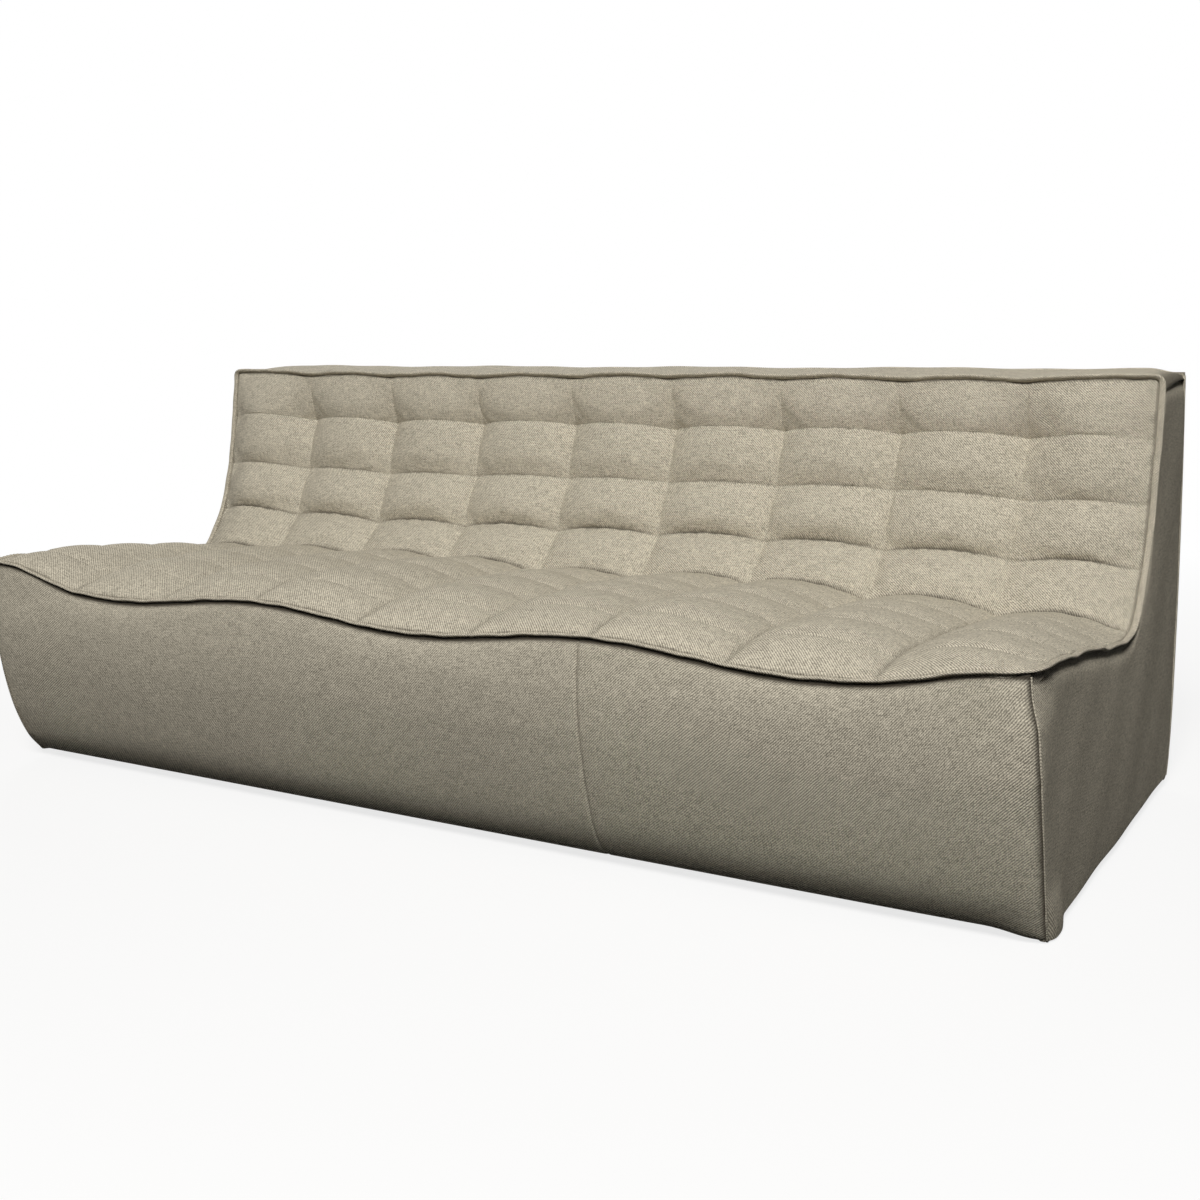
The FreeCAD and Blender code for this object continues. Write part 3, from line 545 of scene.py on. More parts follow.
@dataclass(frozen=True)
class Timber:
    """Sawn softwood or hardwood with growth rings along its grain."""

    name: str
    early: Colour
    late: Colour
    ring: float
    wear: float = 0.5
    stretch: float = 0.06

    def material(self, grain: Grain) -> Paint:
        """Rings are a sine of the distance from a far pith, swayed by noise that is stretched along the grain."""
        name = f"{self.name}_{grain.name.lower()}"
        known = bpy.data.materials.get(name)
        if known:
            return known
        book = Book(bpy.data.materials.new(name))
        along = np.full(3, 1.0)
        along[grain.value] = self.stretch
        place = book.stretched(book.place(), along)
        sway = book.noise(place, 26.0, 3.0)
        first, second = (part for axis, part in enumerate(book.parts(place)) if axis != grain.value)
        rings = ((first * 0.8 + second * 0.6) * (TURN / self.ring) + sway * 7.0).sine() * 0.5 + 0.5
        pores = book.noise(place, 900.0, 2.0, 0.7)
        shade = book.mix((rings * 0.7 + pores * 0.4).held(), self.early, self.late)
        return book.finish(Base_Color=shade, Roughness=0.62 + pores * 0.25,
                           Normal=book.bump(pores * self.wear + rings * 0.4, 0.0006, 0.35))


@dataclass(frozen=True)
class Board:
    """Pressed or layered board: plies or fibres lying across one axis."""

    name: str
    colour: Colour
    layer: Colour
    ply: float
    across: Grain

    def material(self) -> Paint:
        """Layers are a sine across the board, with a fibre noise."""
        book = Book(bpy.data.materials.new(self.name))
        place = book.place()
        layers = (book.parts(place)[self.across.value] * (TURN / self.ply)).sine() * 0.5 + 0.5
        fibre = book.noise(place, 420.0, 4.0, 0.7)
        share = (layers * 0.5 + fibre * 0.6).held()
        return book.finish(Base_Color=book.mix(share, self.colour, self.layer), Roughness=0.7 + fibre * 0.2,
                           Normal=book.bump(fibre, 0.0006, 0.4))


@dataclass(frozen=True)
class ZincSteel:
    """Zinc-plated steel with a faint spangle."""

    name: str = "zinc_plate"
    bright: Colour = (0.66, 0.67, 0.68)
    dull: Colour = (0.42, 0.43, 0.44)

    def material(self) -> Paint:
        """Spangle and handling marks are noise on colour and roughness."""
        book = Book(bpy.data.materials.new(self.name))
        place = book.place()
        spangle, mark = book.noise(place, 260.0), book.noise(place, 60.0, 4.0)
        return book.finish(Base_Color=book.mix(spangle, self.dull, self.bright), Metallic=1.0,
                           Roughness=0.26 + mark * 0.3, Normal=book.bump(spangle, 0.0002, 0.2))


@dataclass(frozen=True)
class MouldedPlastic:
    """Black moulded plastic with a spark-eroded grain and scuffs."""

    name: str = "moulded_black"
    colour: Colour = (0.014, 0.014, 0.015)
    scuff: Colour = (0.070, 0.068, 0.065)

    def material(self) -> Paint:
        """Grain is a fine noise; scuffs are the peaks of a coarse one."""
        book = Book(bpy.data.materials.new(self.name))
        place = book.place()
        grain, worn = book.noise(place, 1100.0), book.noise(place, 70.0, 4.0, 0.7)
        scuffs = (worn * 5.0 - 3.1).held()
        return book.finish(Base_Color=book.mix(scuffs, self.colour, self.scuff),
                           Roughness=0.42 + grain * 0.2 + scuffs * 0.2, Normal=book.bump(grain, 0.0003, 0.4))


# The covers

@dataclass(frozen=True)
class Layout:
    """Lines that several covers share."""

    half_quilt: float = 1.0407
    inner_half: float = 0.8167
    half_width: float = 1.0465
    seat: float = 0.70
    column: float = 0.70 / 3
    valley: float = 0.371
    crest: float = 0.397
    end_rise: float = 0.013
    rise_span: tuple = (0.85, 0.19)
    edge_curve: float = 1.6
    flare_reach: float = 0.012
    flare_x: tuple = (0.80, 0.24)
    flare_y: tuple = (0.05, 0.39)
    top: float = 0.7507
    top_drop: float = 0.0045
    top_wave: float = 0.0022
    top_slack: tuple = ((0.0012, 0.7, 5.1),)
    draw_start: float = 0.62
    front: float = -0.4427
    hem: float = 0.0148
    front_corners: tuple = (((0.008, -0.4440, 0.402), (0.009, -0.4465, 0.365), (0.008, -0.4545, 0.290),
                             (0.004, -0.4500, 0.200), (0.001, -0.4360, 0.120), (0.000, -0.4110, 0.055),
                             (0.000, -0.3800, 0.014)),
                            ((-0.015, -0.4300, 0.402), (-0.011, -0.4340, 0.372), (-0.001, -0.4350, 0.330),
                             (0.003, -0.4300, 0.260), (0.003, -0.4100, 0.160), (0.002, -0.3860, 0.060),
                             (0.000, -0.3660, 0.012)))
    rear_corner: tuple = ((0.428, 0.742), (0.443, 0.55), (0.449, 0.35), (0.444, 0.16), (0.430, 0.06),
                          (0.417, 0.020))
    edge: tuple = ((0.2705, 0.7507), (0.2525, 0.648), (0.2280, 0.542), (0.1905, 0.440), (0.1150, 0.352),
                   (0.0000, 0.353), (-0.120, 0.375), (-0.240, 0.394), (-0.355, 0.408), (-0.4427, 0.410))

    def front_edge(self, x: Array) -> Array:
        """Height of the quilt's front edge: a cosine wave, one valley for each seat, rising at the ends."""
        middle, swing = (self.valley + self.crest) / 2, (self.crest - self.valley) / 2
        wave = middle - swing * np.cos(TURN * x / self.seat) + self.end_rise * fade(np.abs(x), *self.rise_span)
        return wave + self.outer(x) ** self.edge_curve * (self.edge[-1][1] - wave)

    def outer(self, x: Array) -> Array:
        """How far a line lies across an outer column: 0 at its inner seam, 1 at the quilt's edge."""
        return np.clip((np.abs(x) - self.inner_half) / (self.half_quilt - self.inner_half), 0, 1)

    def flare(self, x: Array, y: Array) -> Array:
        """How far the left end's front corner spreads outwards."""
        return self.flare_reach * fade(-x, *self.flare_x) * fade(-y, *self.flare_y)

    def drawn(self, x: Array) -> Array:
        """How far a line lies from where panels start to be drawn in, 0, to the end of the sofa, 1."""
        return np.clip((np.abs(x) - self.draw_start) / (self.half_width - self.draw_start), 0, 1)[:, None]

    def front_corner(self, side: Side) -> Array:
        """The front corner seam of one end: outward shift, y and height of its knots, from the top down."""
        return np.array(self.front_corners[0 if side is Side.LEFT else 1])

    def top_edge(self, x: Array) -> Array:
        """Height of the quilt's top edge: a slight wave that dips at each column seam."""
        return self.top - self.top_drop + self.top_wave * np.cos(TURN * x / self.column) + waves(self.top_slack, x)


LAYOUT = Layout()


class Piece:
    """Shared steps of a dressed piece; a panel takes the piece's own cloth and thickness."""

    cloth: Paint
    thickness: float

    @staticmethod
    def keep(made: Thing, finish: Paint, slot: str, *nodes: str) -> Thing:
        """Dresses a piece and ties it to the frame.

        Args:
            made: The piece.
            finish: Its material.
            slot: Not used.
            nodes: CAD nodes that it stands for.

        Returns:
            The piece.
        """
        made.data.materials.clear()
        made.data.materials.append(finish)
        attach(made, BODY)
        if nodes:
            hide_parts(*nodes)
        LOG.info("%s: %d faces", made.name, len(made.data.polygons))
        return made

    def panel(self, name: str, surface: Sequence[Array], facing: Sequence[float], slot: str, node: str) -> Thing:
        """A cloth panel with its thickness on the inner side.

        Args:
            name: The piece's name.
            surface: Points, cloth coordinates and painted shade.
            facing: The direction that its outer side looks along.
            slot: Not used.
            node: The CAD node that it stands for.

        Returns:
            The piece.
        """
        made = cloth_grid(name, *surface, facing)
        wall = made.modifiers.new("thickness", "SOLIDIFY")
        wall.thickness, wall.offset = self.thickness, -1.0
        return self.keep(made, self.cloth, slot, node)


@dataclass
class Quilt(Piece):
    """The tufted cover that runs from the top of the back down over the seat to its front edge."""

    cloth: Paint
    rows: int = 9
    columns: int = 9
    across: int = 30
    along: int = 26
    crowd: float = 0.78
    tufts: tuple = ((0.2705, 0.7507), (0.2860, 0.6420), (0.2500, 0.5380), (0.2000, 0.4390), (0.1220, 0.3640),
                    (0.0015, 0.3670), (-0.119, 0.3820), (-0.239, 0.3910), (-0.355, 0.3970), (-0.4427, 0.3840))
    sway: tuple = ((-0.002, -0.005, -0.003, 0.001, -0.003, 0.000, 0.000, -0.002),
                   (-0.005, -0.010, -0.006, -0.001, 0.000, 0.003, 0.006, -0.002),
                   (-0.005, -0.011, -0.007, -0.003, 0.001, 0.004, 0.001, -0.001),
                   (-0.008, -0.003, 0.004, -0.008, -0.006, 0.010, -0.003, -0.008),
                   (-0.004, -0.004, 0.008, -0.004, -0.004, 0.008, -0.006, -0.004),
                   (-0.005, -0.005, 0.010, -0.005, -0.005, 0.010, -0.006, -0.005),
                   (-0.006, -0.006, 0.012, -0.006, -0.006, 0.012, -0.006, -0.006),
                   (-0.007, -0.007, 0.014, -0.007, -0.007, 0.014, -0.007, -0.007))
    lift: tuple = (0.0, 0.034, 0.024, 0.023, 0.023, 0.032, 0.031, 0.030, 0.024, 0.0)
    sharp: tuple = (0.90, 0.90, 0.88, 0.86, 0.80, 0.92, 0.90, 0.86, 0.80, 0.70)
    rise: tuple = (0.0, 0.010, 0.001, 0.003, 0.004, 0.0, 0.0, 0.0, 0.0, 0.0)
    groove: tuple = (0.0, 0.0010, 0.0035, 0.0055, 0.0060, 0.0016, 0.0018, 0.0010, 0.0026, 0.0)
    # Painted shade along each row seam, then its width.
    shade: tuple = (0.0, 0.12, 0.40, 0.70, 0.80, 0.02, 0.02, 0.02, 0.02, 0.0)
    shade_width: tuple = (0.0024, 0.0022, 0.0024, 0.0026, 0.0045, 0.0024, 0.0024, 0.0024, 0.0024, 0.0024)
    groove_width: float = 0.0035
    groove_least: float = 0.35
    shade_least: float = 0.25
    row_length: float = 0.112
    rim_row: float = 0.105
    hold: float = 3.0
    skew: float = 1.35
    seat_skew: float = 0.84
    seat_row: int = 4
    # Strength of the painted shade in the seat's column valleys.
    valley: float = 0.30
    valley_shade_width: float = 0.006
    valley_shade_rows: tuple = (4.3, 0.8)
    give: tuple = (0.5, 1.0, 1.0, 1.0, 0.4, 0.3, 0.3, 0.3, 0.3, 0.3)
    plump: float = 2.0
    seam_puff: tuple = (0.006, 0.006, 0.005, 0.002, 0.001, 0.002, 0.002, 0.002, 0.001)
    cell_puff: tuple = (0.000, 0.003, 0.012, 0.004, 0.002, 0.004, 0.004, 0.004, 0.005)
    lean: tuple = (0.20, 0.40, 0.32, 0.25, 0.10, 0.00, 0.00, 0.00, 0.25)
    bulge: tuple = (0.90, 0.90, 0.90, 0.90, 0.90, 0.90, 0.90, 0.90, 0.75)
    under: tuple = ((0.3255, 0.7370), (0.3050, 0.5380), (0.1770, 0.3070), (-0.4427, 0.3490))
    under_rows: tuple = (0, 2, 4, 9)
    wall_half: float = 1.024
    wall_cloth: tuple = (0.04, -0.05)
    # Even painted shade on the quilt's side walls.
    wall_shade: float = 0.8
    reach: float = 0.0040
    slack: float = 0.010
    pressure: float = 1.6
    settle_frames: int = 14
    corners: tuple = (0.014, 0.050)
    lip_line: float = 0.0048
    lip_groove: float = 0.0026
    lip_groove_width: float = 0.003
    # Painted shade in the groove inside the lip, then its width.
    lip_shade: float = 0.66
    lip_shade_width: float = 0.0022
    fill_spread: tuple = (0.86, 1.14)
    seed: int = 7
    points: Array = field(default=None, repr=False)

    def inner_seams(self) -> Array:
        """The x of the column seams between the quilt's ends."""
        return np.linspace(-LAYOUT.inner_half, LAYOUT.inner_half, self.columns - 1)

    def lines(self) -> tuple[Array, Array, Array]:
        """Column numbers, row numbers and x of the grid's lines."""
        u, v = crowded(self.columns, self.across, self.crowd), crowded(self.rows, self.along, self.crowd)
        seams = np.r_[-LAYOUT.half_quilt, self.inner_seams(), LAYOUT.half_quilt]
        return u, v, np.interp(u, np.arange(self.columns + 1), seams)

    def surface(self) -> Array:
        """Outer surface: tuft lines joined by chords, plus pillows along each chord's normal.

        A pillow is (4f(1-f))^sharp across a column times (4t(1-t))^bulge (1 + lean(2t-1)) along a row. Tufts sway
        up and down from their line, and the seat's pillows lean left, f being raised to seat_skew there. Row seams
        lift and rise between the tufts by the first factor and lie in a narrow groove. Outer columns turn into
        the end line, and a shallow groove runs inside the lip.

        Returns:
            Points by column line and row line.
        """
        u, v, x = self.lines()
        tufts = np.repeat(np.array(self.tufts)[None], len(x), 0)
        tufts[:, 0, 1], tufts[:, -1, 1] = LAYOUT.top_edge(x), LAYOUT.front_edge(x)
        tufts[:, 1:-1, 1] += np.stack([np.interp(x, self.inner_seams(), row) for row in self.sway], axis=1)
        chord = unit(np.diff(np.array(self.tufts), axis=0))
        normal = np.stack([chord[:, 1], -chord[:, 0]], axis=1)
        seam_normal, seam_down = (unit(np.vstack([n[:1], n[:-1] + n[1:], n[-1:]])) for n in (normal, chord))
        column, row = np.minimum(u.astype(int), self.columns - 1), np.minimum(v.astype(int), self.rows - 1)
        f, t = (u - column)[:, None], (v - row)[None, :]
        first, last = (column == 0)[:, None], (column == self.columns - 1)[:, None]
        f = np.where(first, 1 - (1 - f) ** self.skew, np.where(last, f**self.skew, f))
        aside = np.where(np.arange(self.rows + 1) > self.seat_row, self.seat_skew, 1.0)[None, :]
        pillow = mound(np.where(first, f, f**aside)) ** np.array(self.sharp)[None, :]
        outer = LAYOUT.outer(x)[:, None]
        keep = 1 - outer ** (self.hold * np.where(x < 0, self.plump, 1.0)[:, None])
        shift = np.array(self.lift)[:, None] * seam_normal - np.array(self.rise)[:, None] * seam_down
        seams = (pillow * keep)[..., None] * shift[None]
        hump = mound(t) ** np.array(self.bulge)[row] * (1 + np.array(self.lean)[row] * (2 * t - 1))
        dice = np.random.default_rng(self.seed).uniform(*self.fill_spread, (self.columns, self.rows))
        fill = np.array(self.seam_puff)[row] + np.array(self.cell_puff)[row] * dice[column][:, row] * pillow[:, row]
        flat = blend(blend(tufts[:, row], tufts[:, row + 1], t), through(LAYOUT.edge, v)[None], outer)
        dip = (LAYOUT.front_edge(x) - LAYOUT.edge[-1][1])[:, None]
        flat[..., 1] += outer * dip * np.where(row == self.rows - 1, t, 0)
        plane = flat + blend(seams[:, row], seams[:, row + 1], t)
        plane = plane + (hump * fill * keep)[..., None] * normal[row][None]
        near = np.round(v).astype(int)
        sewn = np.array(self.groove)[near] * dent(self.off_seam(v), self.groove_width) * swell(self.groove_least, f)
        inside = self.lip_groove * dent(self.off_rim(x, v) - self.lip_line, self.lip_groove_width)
        plane = plane - sewn[..., None] * seam_normal[near][None] - inside[..., None] * normal[row][None]
        return self.round_corners(np.broadcast_to(x[:, None], plane.shape[:2]), plane[..., 0], plane[..., 1])

    def round_corners(self, x: Array, y: Array, z: Array) -> Array:
        """Turns the square front corners in plan: p' = p sqrt(1 - q^2/2) and q' = q sqrt(1 - p^2/2)."""
        size = np.where(x < 0, *self.corners)
        p = np.clip(1 - (LAYOUT.half_quilt - np.abs(x)) / size, 0, 1)
        q = np.clip(1 - (y - LAYOUT.front) / size, 0, 1)
        x = x - np.sign(x) * size * p * (1 - np.sqrt(1 - q * q / 2))
        y = y + size * q * (1 - np.sqrt(1 - p * p / 2))
        x, z = x - LAYOUT.flare(x, y), z + LAYOUT.flare(x, y)
        return np.stack([x, y, z], axis=-1)

    def off_seam(self, v: Array) -> Array:
        """Rough distance from the nearest row seam."""
        return np.abs(v - np.round(v))[None, :] * self.row_length

    def off_rim(self, x: Array, v: Array) -> Array:
        """Rough distance from the quilt's nearest edge."""
        off_side = (LAYOUT.half_quilt - np.abs(x))[:, None]
        return np.minimum(np.minimum(v, self.rows - v)[None, :] * self.rim_row, off_side)

    def inflate(self, start: Array) -> Array:
        """Lets the cloth settle under pressure, its seams held, and caps how far a point moves.

        Args:
            start: Points of the outer surface.

        Returns:
            The settled points.
        """
        faces, _, _ = grid_faces(*start.shape[:2])
        slack = new_piece("quilt_rest", start.reshape(-1, 3), faces, facing=(0, -1, 1))
        mark = np.zeros(start.shape[:2], bool)
        mark[::self.across] = mark[:, ::self.along] = True
        held = slack.vertex_groups.new(name="seams")
        held.add(np.flatnonzero(mark.ravel()).tolist(), 1.0, "REPLACE")
        cloth = slack.modifiers.new("cloth", "CLOTH").settings
        cloth.quality, cloth.mass, cloth.air_damping = 6, 0.25, 4.0
        cloth.tension_stiffness = cloth.compression_stiffness = 18.0
        cloth.shear_stiffness, cloth.bending_stiffness = 8.0, 0.35
        cloth.shrink_min = cloth.shrink_max = -self.slack
        cloth.vertex_group_mass = held.name
        cloth.use_pressure, cloth.uniform_pressure_force = True, self.pressure
        cloth.effector_weights.gravity = 0.0
        scene = bpy.context.scene
        for step in range(1, self.settle_frames + 1):
            scene.frame_set(step)
        shown = slack.evaluated_get(bpy.context.evaluated_depsgraph_get()).to_mesh()
        moved = np.zeros(len(shown.vertices) * 3, np.float32)
        shown.vertices.foreach_get("co", moved)
        scene.frame_set(1)
        move = moved.reshape(start.shape).astype(float) - start
        length = np.linalg.norm(move, axis=2, keepdims=True)
        LOG.info("quilt settled: middle move %.1f mm, most %.1f mm", np.median(length) * 1e3, length.max() * 1e3)
        bpy.data.objects.remove(slack)
        reach = self.reach * np.interp(self.lines()[1], np.arange(self.rows + 1), self.give)[None, :, None]
        return start + move * reach * np.tanh(length / reach) / np.maximum(length, 1e-9)

    def painted_seam_shade(self) -> Array:
        """Painted shade: narrow along row seams, faint in the seat's column valleys, wider inside the lip."""
        u, v, x = self.lines()
        f = (u - np.floor(u))[:, None]
        near = np.round(v).astype(int)
        narrow = dent(self.off_seam(v), np.array(self.shade_width)[near]) * swell(self.shade_least, f)
        painted_fold_shade = self.valley * dent(np.minimum(f, 1 - f) * LAYOUT.column, self.valley_shade_width) * fade(v, *self.valley_shade_rows)
        lip = self.lip_shade * dent(self.off_rim(x, v) - self.lip_line, self.lip_shade_width)
        return np.maximum(np.maximum(np.array(self.shade)[near] * narrow, painted_fold_shade), lip)

    def ring(self) -> Array:
        """Vertex numbers round the surface's edge: top, right, front, left."""
        return rim(self.columns * self.across + 1, self.rows * self.along + 1)

    def build(self) -> Thing:
        """The closed quilt: settled outer surface, side walls and a flat-sided underside."""
        start = self.surface()
        self.points = self.inflate(start)
        rows, cols = start.shape[:2]
        outer, ring = self.points.reshape(-1, 3), self.ring()
        faces, i, j = grid_faces(rows, cols)
        _, v, x = self.lines()
        below = np.stack([np.interp(v, self.under_rows, c) for c in np.array(self.under).T], axis=1)
        wall = np.column_stack([outer[ring, 0].clip(-self.wall_half, self.wall_half), below[ring % cols]])
        top, side, count = rows - 1, cols - 1, len(ring)
        number = len(outer) + np.arange(count)
        walls = np.stack([ring, np.roll(ring, -1), np.roll(number, -1), number], axis=1)
        first, second = (self.along * k for k in self.under_rows[1:3])
        right, left = top + np.arange(cols), (2 * top + 2 * side - np.arange(cols)) % count
        plates = [np.r_[left[first::-1], np.arange(1, top), right[:first + 1]],
                  np.r_[right[first:second + 1], left[second:first - 1:-1]],
                  np.r_[right[second:], np.arange(top + side + 1, 2 * top + side), left[:second - 1:-1]]]
        shells = faces.tolist() + walls.tolist() + [number[p].tolist() for p in plates]
        run = lengths(through(self.tufts, v))
        cloth = joined(-x[:, None], -run[None, :]).reshape(-1, 2)
        flat = np.vstack([cloth, cloth[ring] + np.array(self.wall_cloth)])
        corners = np.concatenate([np.ravel(s) for s in shells]).astype(int)
        # Painted shade of the outer surface, then an even painted shade on the walls.
        crease = np.r_[self.painted_seam_shade().ravel(), np.full(count, self.wall_shade)]
        made = new_piece("quilt", np.vstack([outer, wall]), shells, flat[corners], crease)
        return self.keep(made, self.cloth, "upholstery", "quilted_cover")


@dataclass
class EdgeLip(Piece):
    """The flat sewn lip round the quilt, with its two rows of stitches."""

    cloth: Paint
    thread: Paint
    quilt: Quilt
    steps: int = 1080
    round_: int = 16
    reach: float = 0.0053
    half_thickness: float = 0.0031
    middle: float = 0.0027
    corner: float = 0.011
    stitch_rows: tuple = (0.0018, 0.0050)
    stitch_length: float = 0.0056
    stitches: int = 760
    stitch_radius: float = 0.00045
    stitch_sides: int = 5
    stitch_height: float = 0.86
    stitch_press: tuple = (0.14, 0.0011)
    spindle: tuple = ((-0.5, 0.35, -0.8), (-0.3, 1.0, 0.3), (0.3, 1.0, 0.3), (0.5, 0.35, -0.8))
    curves: tuple = (0.8, 0.9)
    seat_y: tuple = (0.30, -0.12)
    seat_x: tuple = (1.02, 0.02)
    out_axes: tuple = ((0, -0.72, 0.69), (1, 0, 0), (0, -0.96, 0.28), (-1, 0, 0))
    face_axes: tuple = ((0, -0.69, -0.72), (0, -0.5, 0.86), (0, 0.28, 0.96), (0, -0.5, 0.86))
    ripples: tuple = ((0.0005, 0.0, 61), (0.0004, 1.3, 97))
    seat_ripples: tuple = ((0.0012, 0.6, 31), (0.0006, 2.1, 67))
    side_ripples: tuple = ((0.0005, 0.4, 43),)

    def frames(self) -> tuple[Array, Array, Array]:
        """Path, outward axis and face axis round the rim: even steps, then averaged so that corners turn.

        Returns:
            Three arrays of points or unit vectors.
        """
        outer, ring = self.quilt.points.reshape(-1, 3), self.quilt.ring()
        wide, tall = self.quilt.columns * self.quilt.across, self.quilt.rows * self.quilt.along
        counts = (wide, tall, wide, tall)
        out, face = (np.repeat(axes, counts, axis=0) for axes in (self.out_axes, self.face_axes))
        loop = even(np.hstack([outer[ring], out, face]), self.steps, closed=True)
        length = np.linalg.norm(np.diff(loop[:, :3], axis=0), axis=1).sum()
        wave = np.fft.fftfreq(self.steps, length / self.steps) * TURN
        blur = np.exp(-0.5 * (wave * self.corner) ** 2)[:, None]
        loop = np.fft.ifft(np.fft.fft(loop, axis=0) * blur, axis=0).real
        path = loop[:, :3]
        ahead = unit(np.roll(path, -1, 0) - np.roll(path, 1, 0))
        out = unit(loop[:, 3:6] - (loop[:, 3:6] * ahead).sum(1, keepdims=True) * ahead)
        face = np.cross(ahead, out) * np.sign((np.cross(ahead, out) * loop[:, 6:]).sum(1, keepdims=True))
        return self.puckered(path, out, face), out, face

    def puckered(self, path: Array, out: Array, face: Array) -> Array:
        """Small waves of the sewn edge: longer and higher along the ends of the seat."""
        at = np.arange(self.steps) / self.steps * TURN
        seat = fade(path[:, 1], *self.seat_y) * fade(np.abs(path[:, 0]), *self.seat_x)
        wave = waves(self.ripples, at) + seat * waves(self.seat_ripples, path[:, 1])
        return path + face * wave[:, None] + out * waves(self.side_ripples, at)[:, None]

    def profile(self) -> Array:
        """A flat oval: powers of cosine and sine, thinned a little along the stitch rows."""
        a = np.arange(self.round_) / self.round_ * TURN
        wide, tall = self.curves
        along = self.middle + self.reach * np.sign(np.cos(a)) * np.abs(np.cos(a)) ** wide
        thick = self.half_thickness * np.sign(np.sin(a)) * np.abs(np.sin(a)) ** tall
        depth, width = self.stitch_press
        sewn = sum(dent(along - row, width) for row in self.stitch_rows)
        return np.stack([along, thick * (1 - depth * sewn)], axis=1)

    def build(self) -> None:
        """The lip and its stitching."""
        path, out, face = self.frames()
        lip = tube("edge_lip", path, out, face, self.profile(), True)
        self.keep(lip, self.cloth, "upholstery", "welt_front", "welt_left", "welt_right", "welt_top")
        frames = even(np.hstack([path, out, face]), self.stitches, closed=True)
        self.keep(self.stitching(frames), self.thread, "upholstery")

    def stitching(self, frames: Array) -> Thing:
        """Stitches: many-sided spindles of a few rings, laid on the lip's face in rows.

        Args:
            frames: Path point, outward axis and face axis of each stitch.

        Returns:
            One mesh of all stitches.
        """
        place, out, face = frames[:, :3], unit(frames[:, 3:6]), unit(frames[:, 6:])
        ahead = unit(np.roll(place, -1, 0) - np.roll(place, 1, 0))
        ring = np.arange(self.stitch_sides) / self.stitch_sides * TURN
        scale = np.array([self.stitch_length, self.stitch_radius, self.stitch_radius])
        along, girth, sink = (np.array(self.spindle) * scale).T
        height = self.half_thickness * self.stitch_height
        rows = np.array(self.stitch_rows)
        shape = (along[None, None, :, None, None] * ahead[:, None, None, None]
                 + (girth[:, None] * np.cos(ring))[None, None, ..., None] * out[:, None, None, None]
                 + (height + sink[:, None] + girth[:, None] * np.sin(ring))[None, None, ..., None]
                 * face[:, None, None, None]
                 + rows[None, :, None, None, None] * out[:, None, None, None] + place[:, None, None, None])
        return many_tubes("lip_stitching", shape.reshape(-1, len(along), len(ring), 3))


